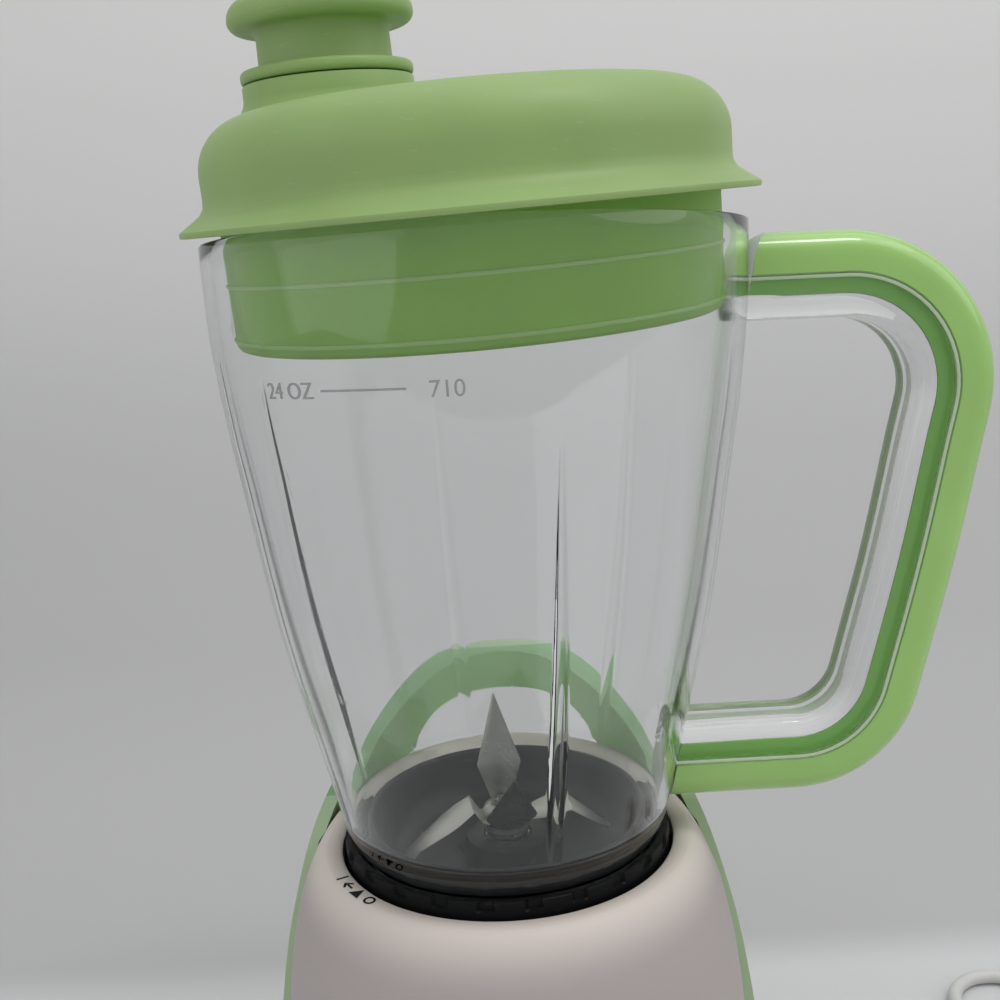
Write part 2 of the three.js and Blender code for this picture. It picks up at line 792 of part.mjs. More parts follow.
function buildInterlock() {
  let lockRing = solid(ring(ringInner, ringOuter, ringBottom, ringTop));
  for (let i = 0; i < lugCount; i += 1) {
    const shape = lugShape(lugDegrees + 2 * pocketSlackDegrees, ringInner + fit, ringOuter + overrun);
    const pocket = raised(shape, ringTop - lugHeight - fit, ringTop + overrun);
    lockRing = lockRing.subtract(solid(pocket.rotateZ(radians((360 * i) / lugCount))));
  }
  const clear = (plungerRadius / plungerPath) * (180 / Math.PI) * 1.25;
  for (const degrees of plungerDegrees) {
    lockRing = lockRing.add(rampSolid(degrees + clear));
  }
  add('interlock_ring', lockRing, blackPlastic());
  plungerDegrees.forEach((degrees, i) => {
    const [x, y] = polar(plungerPath, degrees);
    const collarTop = cupBottom - plungerCollarDrop;
    const collarBottom = collarTop - plungerCollarHeight;
    const bottom = plungerTop - plungerLength;
    const profile = [[0, bottom], [plungerRadius, bottom], [plungerRadius, collarBottom],
      [plungerCollarRadius, collarBottom], [plungerCollarRadius, collarTop], [plungerRadius, collarTop],
      [plungerRadius, plungerTop - plungerRadius / 2], [plungerRadius / 2, plungerTop], [0, plungerTop]];
    add(`plunger_${i + 1}`, placed(turned(profile, smallFacets), x, y, 0), greyRubber());
    add(`plunger_spring_${i + 1}`, placed(springGeometry(), x, y, springTop - springLength), steel());
    const body = block(switchWidth, switchDepth, switchHeight, 0, plungerPath, switchTop - switchHeight);
    add(`interlock_switch_${i + 1}`, body.rotateZ(radians(degrees - 90)), blackPlastic());
  });
}

function springGeometry() {
  const rings = [];
  const total = Math.round(springCurls * springCurlSteps);
  const wire = springWire / 2;
  for (let i = 0; i <= total; i += 1) {
    const angle = (2 * Math.PI * i) / springCurlSteps;
    const z = wire + ((springLength - springWire) * i) / total;
    const points = [];
    for (let k = 0; k < springSides; k += 1) {
      const around = (2 * Math.PI * k) / springSides;
      const radius = springRadius + wire * Math.cos(around);
      points.push([radius * Math.cos(angle), radius * Math.sin(angle), z + wire * Math.sin(around)]);
    }
    rings.push(points);
  }
  return loft(rings);
}

// Motor

function roundedSquare(half, corner) {
  const shape = new THREE.Shape();
  shape.moveTo(-half + corner, -half);
  shape.lineTo(half - corner, -half);
  shape.absarc(half - corner, -half + corner, corner, -Math.PI / 2, 0, false);
  shape.lineTo(half, half - corner);
  shape.absarc(half - corner, half - corner, corner, 0, Math.PI / 2, false);
  shape.lineTo(-half + corner, half);
  shape.absarc(-half + corner, half - corner, corner, Math.PI / 2, Math.PI, false);
  shape.lineTo(-half, -half + corner);
  shape.absarc(-half + corner, -half + corner, corner, Math.PI, 1.5 * Math.PI, false);
  return shape;
}

// A round outline with teeth, standing out to one radius and cut back to another
function toothedShape(tip, root, teeth, tipDegrees, turnDegrees) {
  const points = [];
  const gapHalf = 180 / teeth - tipDegrees / 2;
  for (let i = 0; i < teeth; i += 1) {
    const middle = turnDegrees + (360 * i) / teeth;
    const gap = middle + 180 / teeth;
    for (const share of [-0.5, -0.2, 0.2, 0.5]) {
      points.push(polar(tip, middle + share * tipDegrees));
    }
    points.push(polar(root, gap - gapHalf), polar(root, gap + gapHalf));
  }
  return outline(points);
}

function buildMotor() {
  const bore = armatureRadius + airGap;
  const coilHalf = coilOpeningDegrees / 2;
  const statorTop = statorBottom + statorHeight;
  let stator = solid(raised(roundedSquare(statorHalfWidth, statorCorner), statorBottom, statorTop, 3));
  stator = stator.subtract(solid(disc(bore, statorBottom - overrun, statorTop + overrun, 32)));
  const pocket = lugShape(coilOpeningDegrees, bore - overrun, bore + coilThickness);
  for (const degrees of [90, 270]) {
    const room = raised(pocket, statorBottom - overrun, statorTop + overrun, 8).rotateZ(radians(degrees));
    stator = stator.subtract(solid(room));
  }
  add('stator_core', stator, darkSteel());
  [90, 270].forEach((degrees, i) => {
    const coil = lugShape(2 * coilHalf - coilSlackDegrees, bore + airGap / 2, bore + coilThickness - fit);
    const body = raised(coil, statorBottom - coilOverhang, statorTop + coilOverhang, 8);
    add(`field_coil_${i + 1}`, body.rotateZ(radians(degrees)), copper());
  });
  let core = solid(disc(armatureRadius, statorBottom, statorTop, 36));
  for (let i = 0; i < armatureSlots; i += 1) {
    const slot = block(armatureSlotDepth, armatureSlotWidth, statorHeight + 2 * overrun,
      armatureRadius - armatureSlotDepth / 2 + overrun / 2, 0, statorBottom - overrun);
    core = core.subtract(solid(slot.rotateZ(radians((360 * i) / armatureSlots))));
  }
  core = core.subtract(solid(disc(shaftRadius + fit, statorBottom - overrun, statorTop + overrun, 16)));
  add('armature_core', core, darkSteel());
  add('motor_shaft', disc(shaftRadius, shaftBottom, shaftTop, 16), steel());
  add('commutator', ring(shaftRadius + fit, commutatorRadius, commutatorBottom,
    commutatorBottom + commutatorHeight, fewFacets), copper());
  const hub = solid(ring(shaftRadius + fit, fanHub, fanBottom, fanBottom + fanHeight, fewFacets));
  let fan = hub.add(solid(ring(shaftRadius + fit, fanRadius, fanBottom, fanBottom + fanPlate, mediumFacets)));
  for (let i = 0; i < fanBladeCount; i += 1) {
    const length = fanRadius - fanHub;
    const blade = block(length + fit, fanBladeThickness, fanHeight, fanHub + length / 2, 0, fanBottom);
    fan = fan.add(solid(blade.rotateZ(radians((360 * i) / fanBladeCount))));
  }
  add('cooling_fan', fan, blackPlastic());
  buildBrackets();
  const dogs = toothedShape(couplerRadius, couplerRootRadius, couplerTeeth, couplerToothDegrees, 0);
  const coupler = solid(raised(dogs, couplerBottom + couplerFlange, couplerBottom + couplerHeight));
  const flange = solid(disc(couplerRadius + couplerFlange, couplerBottom, couplerBottom + couplerFlange, mediumFacets));
  const socket = solid(disc(shaftRadius + fit, couplerBottom - overrun, shaftTop + fit, 16));
  add('drive_coupler', coupler.add(flange).subtract(socket), blackPlastic());
}

function buildBrackets() {
  const upperTop = upperBracketBottom + upperBracketHeight;
  const hole = bearingRadius + fit;
  const cupReach = cupBottom - fit;
  let upper = solid(ring(hole, bracketRadius, upperBracketBottom, upperTop, mediumFacets));
  const lowerTop = lowerBracketBottom + lowerBracketHeight;
  let lower = solid(ring(hole, lowerRingRadius, lowerBracketBottom, lowerTop, fewFacets));
  for (const degrees of [45, 135, 225, 315]) {
    const [x, y] = polar(postSpread, degrees);
    const arm = block(postSpread - hole - fit, bracketArm, lowerBracketHeight,
      (postSpread + hole + fit) / 2, 0, lowerBracketBottom);
    lower = lower.add(solid(arm.rotateZ(radians(degrees))));
    const strut = placed(disc(postRadius, lowerBracketBottom, upperBracketBottom - fit, tinyFacets), x, y, 0);
    lower = lower.add(solid(strut));
    const tab = block(postSpread - bracketRadius + postRadius * 2, bracketArm, upperBracketHeight,
      (postSpread + bracketRadius) / 2, 0, upperBracketBottom);
    upper = upper.add(solid(tab.rotateZ(radians(degrees))));
    upper = upper.add(solid(placed(disc(postRadius, upperBracketBottom, cupReach, tinyFacets), x, y, 0)));
  }
  for (const side of [-1, 1]) {
    const inner = commutatorRadius + fit;
    const middle = side * (inner + brushLength / 2 + bearingCollar);
    const wide = brushWidth + 2 * (brushHolderWall + fit);
    const holderTop = commutatorBottom + brushRise + brushHeight + fit + brushHolderWall;
    const holderBottom = lowerBracketBottom + lowerBracketHeight / 2;
    let holder = solid(block(brushLength, wide, holderTop - holderBottom, middle, 0, holderBottom));
    const room = block(brushLength + 2 * overrun, brushWidth + 2 * fit, brushHeight + 2 * fit,
      middle, 0, commutatorBottom + brushRise - fit);
    holder = holder.subtract(solid(room));
    lower = lower.add(holder);
  }
  const bushHole = solid(disc(hole, lowerBracketBottom - overrun, lowerTop + overrun, fewFacets));
  add('upper_motor_bracket', upper, blackPlastic());
  add('lower_motor_bracket', lower.subtract(bushHole), blackPlastic());
  [-1, 1].forEach((side, i) => {
    const x = side * (commutatorRadius + fit + brushLength / 2);
    const brush = block(brushLength, brushWidth, brushHeight, x, 0, commutatorBottom + brushRise);
    add(`motor_brush_${i + 1}`, brush, darkSteel());
  });
  const seats = [['upper_bearing', upperBracketBottom, upperTop], ['lower_bearing', lowerBracketBottom, lowerTop]];
  for (const [name, bottom, top] of seats) {
    const collarTop = top + fit + bearingCollar;
    add(name, turned([
      [shaftRadius + fit, bottom], [bearingRadius, bottom], [bearingRadius, top + fit],
      [bearingRadius + bearingCollar, top + fit], [bearingRadius + bearingCollar, collarTop],
      [shaftRadius + fit, collarTop], [shaftRadius + fit, bottom],
    ], fewFacets), steel());
  }
}

// Jar and its handle

const jarShoulder = deckHeight + jarShoulderRise;
const jarRim = jarShoulder + jarHeight;

function jarRadiusFor(share) {
  return jarFoot + share * (jarRimRadius - jarFoot);
}

function jarRadius(z) {
  return jarRadiusFor(between(jarShares, (z - jarShoulder) / jarHeight, 1));
}

// The outer edge of the handle moved inwards by a depth, as points in the front view
function handleEdgeLine(depth, rootX) {
  const lean = Math.tan(radians(handleLeanDegrees));
  const top = deckHeight + handleTop - depth;
  const bottom = deckHeight + handleBottom + depth;
  const across = depth / Math.cos(radians(handleLeanDegrees));
  const gripAt = (z) => handleReach - across + (z - deckHeight - handleReachHeight) * lean;
  const points = [[rootX, top], [rootX, top]];
  points.length = 0;
  const topCorner = [gripAt(top), top - handleTopDrop];
  const bottomCorner = [gripAt(bottom), bottom];
  points.push([rootX, top]);
  pushBend(points, [rootX, top], topCorner, bottomCorner, Math.max(handleTopBend - depth, handleEdge));
  pushBend(points, topCorner, bottomCorner, [rootX, bottom], Math.max(handleBottomBend - depth, handleEdge));
  points.push([rootX, bottom]);
  return points;
}

// A corner rounded by an arc of the given radius, added to a line of points
function pushBend(points, before, corner, after, radius) {
  const a = new THREE.Vector2(before[0] - corner[0], before[1] - corner[1]).normalize();
  const b = new THREE.Vector2(after[0] - corner[0], after[1] - corner[1]).normalize();
  const half = Math.acos(THREE.MathUtils.clamp(a.dot(b), -1, 1)) / 2;
  const start = radius / Math.tan(half);
  const centre = new THREE.Vector2().addVectors(a, b).normalize().multiplyScalar(radius / Math.sin(half));
  centre.add(new THREE.Vector2(corner[0], corner[1]));
  const from = new THREE.Vector2(corner[0] + a.x * start, corner[1] + a.y * start).sub(centre);
  const to = new THREE.Vector2(corner[0] + b.x * start, corner[1] + b.y * start).sub(centre);
  const turn = from.clone().cross(to) < 0 ? -1 : 1;
  const sweep = turn * from.clone().normalize().angleTo(to.clone().normalize());
  for (let i = 0; i <= bendSteps; i += 1) {
    const angle = Math.atan2(from.y, from.x) + (sweep * i) / bendSteps;
    points.push([centre.x + radius * Math.cos(angle), centre.y + radius * Math.sin(angle)]);
  }
}

function handleBand(outerDepth, innerDepth, rootX, width) {
  const outer = handleEdgeLine(outerDepth, rootX);
  const inner = handleEdgeLine(innerDepth, rootX);
  return frontBar(outline([...outer, ...inner.reverse()]), -width / 2, width / 2);
}

// The edges of a bar of the handle's section trimmed at 45 degrees
function handleBandTrimmed(outerDepth, innerDepth, rootX, width, edge) {
  const wide = solid(handleBand(outerDepth + edge, innerDepth, rootX, width));
  const narrow = solid(handleBand(outerDepth, innerDepth, rootX, width - 2 * edge));
  const middle = solid(handleBand(outerDepth + edge / 3, innerDepth, rootX, width - edge * 2 / 3));
  return wide.add(narrow).add(middle);
}

const totalDepth = capDepth + fit + tongueDepth + webDepth;
const insertRoot = (depth) => jarRadius(deckHeight + handleTop - depth) + insertRootGap;

function ribSolid(degrees) {
  const rings = [];
  for (let i = 0; i <= ribRings; i += 1) {
    const share = i / ribRings;
    const z = jarShoulder + (ribTopShare + (ribBottomShare - ribTopShare) * share) * jarHeight;
    const wall = jarRadius(z) - jarWall / 2;
    const grown = Math.sqrt(Math.max(share, 0.02));
    const half = (ribWidth * grown) / 2;
    const tip = wall - jarWall / 2 - ribDepth * grown * (share < 1 ? 1 : 0.35);
    rings.push([[wall, -half, z], [wall, half, z], [tip, half / 8, z], [tip, -half / 8, z]]);
  }
  return solid(loft(rings.reverse()).rotateZ(radians(degrees)));
}

function buildJar() {
  const outerProfile = [[0, jarShoulder]];
  const innerProfile = [];
  for (const [height, share] of jarShares) {
    outerProfile.push([jarRadiusFor(share), jarShoulder + height * jarHeight]);
  }
  outerProfile.push([0, jarRim]);
  const neckTop = jarShoulder + neckRise;
  const flareTop = neckTop + flareHeight;
  const neckBottom = jarShoulder - neckDepth;
  innerProfile.push([0, neckBottom - overrun], [neckBore, neckBottom - overrun], [neckBore, neckTop]);
  innerProfile.push([jarRadius(flareTop) - jarWall, flareTop]);
  for (const [height, share] of jarShares) {
    const z = jarShoulder + height * jarHeight;
    if (z > flareTop + fit) {
      innerProfile.push([jarRadiusFor(share) - jarWall, z]);
    }
  }
  innerProfile.push([jarRimRadius - jarWall, jarRim + overrun], [0, jarRim + overrun]);
  const handleRootX = handleRoot;
  const handle = solid(handleBand(capDepth + fit, totalDepth, handleRootX, handleWidth));
  const channel = solid(handleBand(capDepth, capDepth + fit + tongueDepth + fit, handleRootX,
    tongueWidth + 2 * fit));
  const grip = handle.subtract(channel.subtract(solid(disc(jarRimRadius, 0, jarRim))));
  let jar = solid(turned(outerProfile, fineFacets)).add(solid(disc(neckOuterRadius, neckBottom, jarShoulder + fit)));
  jar = jar.add(grip).subtract(solid(turned(innerProfile, fineFacets)));
  for (let i = 0; i < ribCount; i += 1) {
    jar = jar.add(ribSolid(ribStartDegrees + (360 * i) / ribCount));
  }
  add('jar', jar, clearPlastic());
  const clearWall = turned([
    [0, jarShoulder - overrun],
    ...jarShares.map(([height, share]) => [jarRadiusFor(share) + insertRootGap, jarShoulder + height * jarHeight]),
    [0, jarRim],
  ], fineFacets);
  let insert = handleBandTrimmed(0, capDepth, handleRootX, handleWidth, handleEdge);
  insert = insert.add(solid(handleBand(capDepth - fit, capDepth + fit + tongueDepth - fit, handleRootX, tongueWidth)));
  insert = insert.subtract(solid(clearWall));
  const keepOut = solid(disc(jarRimRadius + insertRootGap, 0, jarRim + overrun, fineFacets));
  const tongueRoom = solid(handleBand(capDepth, totalDepth, handleRootX, handleWidth)).intersect(keepOut);
  add('handle_insert', insert.subtract(tongueRoom), greenShell());
}

// Blade base and blades

const dishFloor = deckHeight - dishFloorDrop;
const dishHubTop = deckHeight + dishHubRise;

function buildBladeBase() {
  const collarTop = deckHeight + collarRise;
  const collarBottom = deckHeight - collarDrop;
  const sealFloor = deckHeight - sealFloorDrop;
  const housingBottom = deckHeight - bushHousingDrop;
  const hubHole = bushRadius + fit;
  let base = solid(turned([
    [hubHole, housingBottom], [bushHousingRadius, housingBottom], [bushHousingRadius, dishFloor - dishWall],
    [dishFloorRadius + dishWall, dishFloor - dishWall], [dishOuterRadius, sealFloor - sealRingFloor],
    [collarBore, sealFloor - sealRingFloor], [collarBore, collarBottom], [collarRadius, collarBottom],
    [collarRadius, collarTop], [collarBore, collarTop], [collarBore, sealFloor], [dishOuterRadius, sealFloor],
    [dishOuterRadius, deckHeight + dishRimRise], [dishRimRadius, deckHeight + dishRimRise],
    [dishFloorRadius + dishWall, dishFloor + dishFilletRise], [dishFloorRadius, dishFloor],
    [dishHubRadius + dishHubFoot, dishFloor], [dishHubRadius, dishHubTop], [hubHole, dishHubTop],
    [hubHole, housingBottom],
  ], mediumFacets));
  for (let i = 0; i < notchCount; i += 1) {
    const notch = block(2 * notchDepth, notchWidth, notchHeight, collarRadius, 0,
      collarTop - notchBelowRim - notchHeight);
    base = base.subtract(solid(notch.rotateZ(radians((360 * (i + 0.5)) / notchCount))));
  }
  for (let i = 0; i < lugCount; i += 1) {
    const lug = raised(lugShape(lugDegrees, collarBore + fit, collarRadius), collarBottom - lugHeight, collarBottom + fit, 3);
    base = base.add(solid(lug.rotateZ(radians((360 * i) / lugCount))));
  }
  add('blade_base', base, blackPlastic());
  add('jar_seal', ring(dishOuterRadius + fit, collarBore - fit, sealFloor + fit / 2,
    sealFloor + fit / 2 + sealThickness, mediumFacets), greyRubber());
  add('shaft_bushing', ring(bladeShaftRadius + fit, bushRadius, housingBottom + fit, dishHubTop - fit, fewFacets), steel());
  const couplerTop = deckHeight - bladeCouplerTopDrop;
  const shaftBottomEnd = couplerTop - bladeCouplerWall - fit;
  add('blade_shaft', disc(bladeShaftRadius, shaftBottomEnd, deckHeight + bladeShaftTop, 16), steel());
  const pitch = 360 / couplerTeeth;
  const star = toothedShape(couplerRadius + couplerMesh, cupToothRadius, couplerTeeth,
    pitch - cupToothDegrees, cupToothTurnDegrees + pitch / 2);
  const couplerFoot = couplerBottom + couplerFlange + fit;
  let coupler = solid(disc(bladeCouplerRadius, couplerFoot, couplerTop, 24));
  coupler = coupler.subtract(solid(raised(star, couplerFoot - overrun, shaftBottomEnd - bladeCouplerWall)));
  coupler = coupler.subtract(solid(disc(bladeShaftRadius + fit, shaftBottomEnd - fit, couplerTop + overrun, 16)));
  add('blade_coupler', coupler, blackPlastic());
}

// A wing of the cross: root, widest point and tip along a bent centre line
function wing(stations) {
  const rings = stations.map(({ reach, rise, half, lean }) => {
    const dx = -Math.sin(lean) * bladeThickness / 2;
    const dz = Math.cos(lean) * bladeThickness / 2;
    return [
      [reach - dx, -half, rise - dz], [reach - dx, half, rise - dz],
      [reach + dx, half, rise + dz], [reach + dx, -half, rise + dz],
    ];
  });
  return solid(loft(rings));
}

function bentWing(reach, rise, level, degrees) {
  const lean = Math.atan2(rise - level, reach - bladeRootReach);
  const tipHalf = bladeThickness / 4;
  const at = (share) => ({
    reach: bladeRootReach + (reach - bladeRootReach) * share,
    rise: level + (rise - level) * share,
  });
  const stations = [
    { reach: 0, rise: level, half: bladeRootWidth / 2, lean: 0 },
    { reach: bladeRootReach, rise: level, half: bladeRootWidth / 2, lean: lean / 2 },
    { ...at(0.36), half: bladeWidth / 2, lean },
    { ...at(1), half: tipHalf, lean },
  ];
  const geometry = wing(stations);
  return geometry.rotate([0, 0, degrees]);
}

function buildBlades() {
  const bore = solid(disc(bladeShaftRadius + fit, 0, 2 * deckHeight, smallFacets));
  const spacerBottom = dishHubTop + fit;
  const lowerBottom = spacerBottom + spacerHeight + fit;
  const lowerLevel = lowerBottom + bladeThickness / 2;
  const upperLevel = lowerLevel + bladeThickness + fit;
  const nutBottom = upperLevel + bladeThickness / 2 + fit;
  add('blade_spacer', ring(bladeShaftRadius + fit, spacerRadius, spacerBottom, spacerBottom + spacerHeight, fewFacets), steel());
  const droop = lowerLevel - lowerBladeDrop;
  const lower = bentWing(lowerBladeReach, droop, lowerLevel, crossDegrees)
    .add(bentWing(lowerBladeReach, droop, lowerLevel, crossDegrees + 180))
    .add(solid(disc(spacerRadius, lowerLevel - bladeThickness / 2, lowerLevel + bladeThickness / 2, fewFacets)));
  add('lower_blade', lower.subtract(bore), steel());
  const tall = bentWing(tallBladeReach, deckHeight + tallBladeRise, upperLevel, crossDegrees + 90);
  const short = bentWing(shortBladeReach, deckHeight + shortBladeRise, upperLevel, crossDegrees - 90);
  const eye = solid(disc(spacerRadius, upperLevel - bladeThickness / 2, upperLevel + bladeThickness / 2, fewFacets));
  add('upper_blade', tall.add(short).add(eye).subtract(bore), steel());
  const nutTop = nutBottom + hubNutHeight;
  const nutRadius = Math.min(hubNutRadius, bladeRootReach - bladeThickness);
  add('hub_nut', turned([
    [bladeShaftRadius + fit, nutBottom], [nutRadius, nutBottom], [nutRadius, nutTop],
    [nutRadius - hubDomeHeight, nutTop + hubDomeHeight], [bladeShaftRadius + fit, nutTop + hubDomeHeight],
    [bladeShaftRadius + fit, nutBottom],
  ], fewFacets), steel());
}

// Lid and stopper, built upright in their own group and then tilted

const lidGroup = new THREE.Group();

function arcPoints(cx, cz, radius, from, to, steps) {
  const points = [];
  for (let i = 0; i <= steps; i += 1) {
    const angle = radians(from + ((to - from) * i) / steps);
    points.push([cx + radius * Math.cos(angle), cz + radius * Math.sin(angle)]);
  }
  return points;
}

function buildLid() {
  const shoulderZ = lidHeight - lidShoulder;
  const beadLines = [];
  for (const drop of [...beadDrops].reverse()) {
    beadLines.push([plugRadius, -drop - beadHeight], [plugRadius + beadProud, -drop],
      [plugRadius, -drop + beadHeight]);
  }
  const outer = [
    [0, -plugDepth], [plugRadius - plugEdge, -plugDepth], [plugRadius - fit, -plugDepth + plugEdge / 2],
    ...beadLines, [plugRadius, 0], [flangeRadius - flangeThickness, 0],
    [flangeRadius, -flangeDroop], [flangeRadius, flangeThickness - flangeDroop],
    [lidBodyRadius + lidRootFillet, flangeThickness + flangeDroop],
    [lidBodyRadius, flangeThickness + lidRootFillet],
    ...arcPoints(lidBodyRadius - lidShoulder, shoulderZ, lidShoulder, 0, 90, 3),
    [0, lidHeight + lidCrown],
  ];
  const innerTop = lidHeight - lidWall;
  const inner = [
    [0, -plugDepth - overrun], [plugRadius - plugWall - plugEdge / 2, -plugDepth - overrun],
    [plugRadius - plugWall, 0], [lidBodyRadius - lidWall - lidRootFillet, flangeThickness],
    ...arcPoints(lidBodyRadius - lidShoulder, shoulderZ, lidShoulder - lidWall, 0, 90, 2)
      .map(([r, z]) => [Math.min(r, lidBodyRadius - lidWall - fit), Math.min(z, innerTop)]),
    [0, innerTop + lidCrown],
  ];
  const spoutProfile = [
    [0, shoulderZ], [spoutRadius + spoutFlare, shoulderZ], [spoutRadius + spoutFlare, lidHeight - spoutFlare],
    [spoutRadius + spoutFlare / 3, lidHeight], [spoutRadius, lidHeight + spoutFlare / 2],
    [spoutRadius, spoutHeight], [0, spoutHeight],
  ];
  const spoutBore = disc(spoutRadius - spoutWall, -overrun, spoutHeight + overrun, mediumFacets);
  let lid = solid(turned(outer, fineFacets));
  const [spoutX, spoutY] = polar(spoutOffset, spoutDegrees);
  const spout = solid(placed(turned(spoutProfile, mediumFacets), spoutX, spoutY, 0));
  lid = lid.add(spout).subtract(solid(turned(inner, facets)));
  lid = lid.subtract(solid(placed(spoutBore, spoutX, spoutY, 0)));
  add('lid', lid, greenLid(), lidGroup);
}

function buildStopper() {
  const bottom = spoutHeight + fit;
  const ringTopZ = bottom + stopperRingHeight;
  const neckTopZ = ringTopZ + stopperNeckHeight;
  const knobTop = neckTopZ + stopperKnobHeight;
  const plug = spoutRadius - spoutWall - fit;
  const plugBottom = spoutHeight - stopperPlugDepth;
  const middle = neckTopZ + stopperKnobHeight / 2;
  const profile = [
    [0, knobTop - stopperWall], [stopperNeckRadius - stopperWall, knobTop - stopperWall],
    [stopperNeckRadius - stopperWall, ringTopZ], [plug - stopperWall, ringTopZ - stopperWall],
    [plug - stopperWall, plugBottom], [plug - fit, plugBottom], [plug, plugBottom + stopperWall], [plug, bottom],
    [spoutRadius, bottom], [spoutRadius, ringTopZ - fit], [spoutRadius - fit, ringTopZ],
    [stopperNeckRadius, ringTopZ], [stopperNeckTop, neckTopZ],
    [stopperKnobRadius - stopperKnobEdge, neckTopZ],
    ...arcPoints(stopperKnobRadius - stopperKnobEdge, middle, stopperKnobEdge, -90, 90, 3)
      .map(([r, z]) => [r, z]),
    [stopperKnobRadius - stopperKnobEdge, knobTop], [0, knobTop],
  ];
  const tidy = profile.filter((p, i) => i === 0 || Math.hypot(p[0] - profile[i - 1][0], p[1] - profile[i - 1][1]) > fit / 4);
  const [x, y] = polar(spoutOffset, spoutDegrees);
  add('spout_stopper', placed(turned(tidy, fewFacets + 4), x, y, 0), greenLid(), lidGroup);
}

function tiltLid() {
  const tilt = radians(lidTiltDegrees);
  const towards = radians(lidRiseDegrees);
  const axis = new THREE.Vector3(Math.sin(towards), -Math.cos(towards), 0);
  lidGroup.quaternion.setFromAxisAngle(axis, tilt);
  const [slideX, slideY] = polar(-lidSettle, lidRiseDegrees);
  lidGroup.position.set(slideX, slideY, jarRim + fit + jarRimRadius * Math.sin(tilt));
}

// Cord. The route's points are chosen by hand and lie on the table

const coilRise = cordDiameter + coilLayerGap;

function coilPoint(turn) {
  const last = 2 * coilTurnsPerLayer;
  const start = coilMiddleRadius + (coilPitch * coilTurnsPerLayer) / 2;
  const inwards = Math.min(turn, last - turn);
  const radius = start - coilPitch * inwards;
  const climb = THREE.MathUtils.clamp((turn - coilTurnsPerLayer + 0.25) / 0.5, 0, 1);
  const angle = radians(coilStartDegrees) - 2 * Math.PI * turn;
  return new THREE.Vector3(coilX + radius * Math.cos(angle), coilY + radius * Math.sin(angle),
    lieHeight + coilRise * climb);
}

function coilCentreLine() {
  const last = 2 * coilTurnsPerLayer;
  const count = Math.round(last * coilLoopSteps);
  const points = [];
  for (let i = 0; i <= count; i += 1) {
    points.push(coilPoint((last * i) / count));
  }
  const way = radians(coilStartDegrees);
  const along = new THREE.Vector3(Math.sin(way), -Math.cos(way), 0);
  const turned = radians(coilStartDegrees - 360 * last);
  const away = new THREE.Vector3(Math.sin(turned), -Math.cos(turned), 0);
  points.unshift(points[0].clone().addScaledVector(along, -cordDiameter));
  points.push(points[points.length - 1].clone().addScaledVector(away, cordDiameter));
  return points;
}

// A tube of rings set square to a line of points
function ringTube(points, radius, sides) {
  const rings = points.map((p, i) => {
    const before = points[Math.max(i - 1, 0)];
    const after = points[Math.min(i + 1, points.length - 1)];
    const along = after.clone().sub(before).normalize();
    const side = new THREE.Vector3(0, 0, 1).cross(along).normalize();
    const up = along.clone().cross(side);
    const out = [];
    for (let k = 0; k < sides; k += 1) {
      const angle = (2 * Math.PI * (k + 0.5)) / sides;
      const q = p.clone().addScaledVector(side, radius * Math.cos(angle)).addScaledVector(up, radius * Math.sin(angle));
      out.push([q.x, q.y, q.z]);
    }
    return out;
  });
  return loft(rings);
}

function leastSelfGap(points) {
  const apart = Math.ceil(coilLoopSteps * 0.6);
  let least = Infinity;
  for (let i = 0; i < points.length; i += 1) {
    for (let k = i + apart; k < points.length; k += 1) {
      least = Math.min(least, points[i].distanceTo(points[k]) - cordDiameter);
    }
  }
  return least;
}

const shellBackAtCord = between(rearShellShares, cordExitHeight / deckHeight, 2) * baseHalfWidth;
const reliefStart = shellBackAtCord + fit;
const reliefEnd = reliefStart + reliefLength;
const cordLie = cordDiameter / 2;

// The cord's two open runs, chosen by hand: x, y, z. The first starts in the strain relief and
// ends on the coil, the second leads from the coil along the table to the plug
const leadRoute = [
  [0, 110.1, 14], [0, 112.6, 14], [-0.2, 118, 12.9], [-0.7, 124, 9.2], [-1.1, 130, 5.2], [-1, 136, 2.7],
  [-0.74, 139.4, 2.3], [-0.74, 141.2, 2.3],
];
const tailRoute = [
  [60.74, 141.2, 7.4], [60.8, 138, 7.2], [61.3, 132, 6.2], [62.3, 124, 4.2], [63.8, 116, 2.9], [66, 107, 2.3],
  [69.5, 97, 2.3], [75, 86.5, 2.3], [83, 77, 2.3], [93, 69.5, 2.3], [105, 64.5, 2.3], [117.5, 62.2, 2.3],
  [130, 62, 2.3], [139.5, 64.6, 2.3], [145.8, 71.2, 2.3], [148, 80, 2.3], [150.4, 89, 2.3], [157, 95.6, 2.3],
  [166, 98, 2.3], [175, 95.6, 2.3], [181.6, 89, 2.3], [184, 80, 2.3], [184, 66, 2.3], [182, 55, 2.3],
  [179.5, 46, 2.3],
];

function routeCurve(route) {
  return new THREE.CatmullRomCurve3(route.map((p) => new THREE.Vector3(...p)), false, 'centripetal');
}

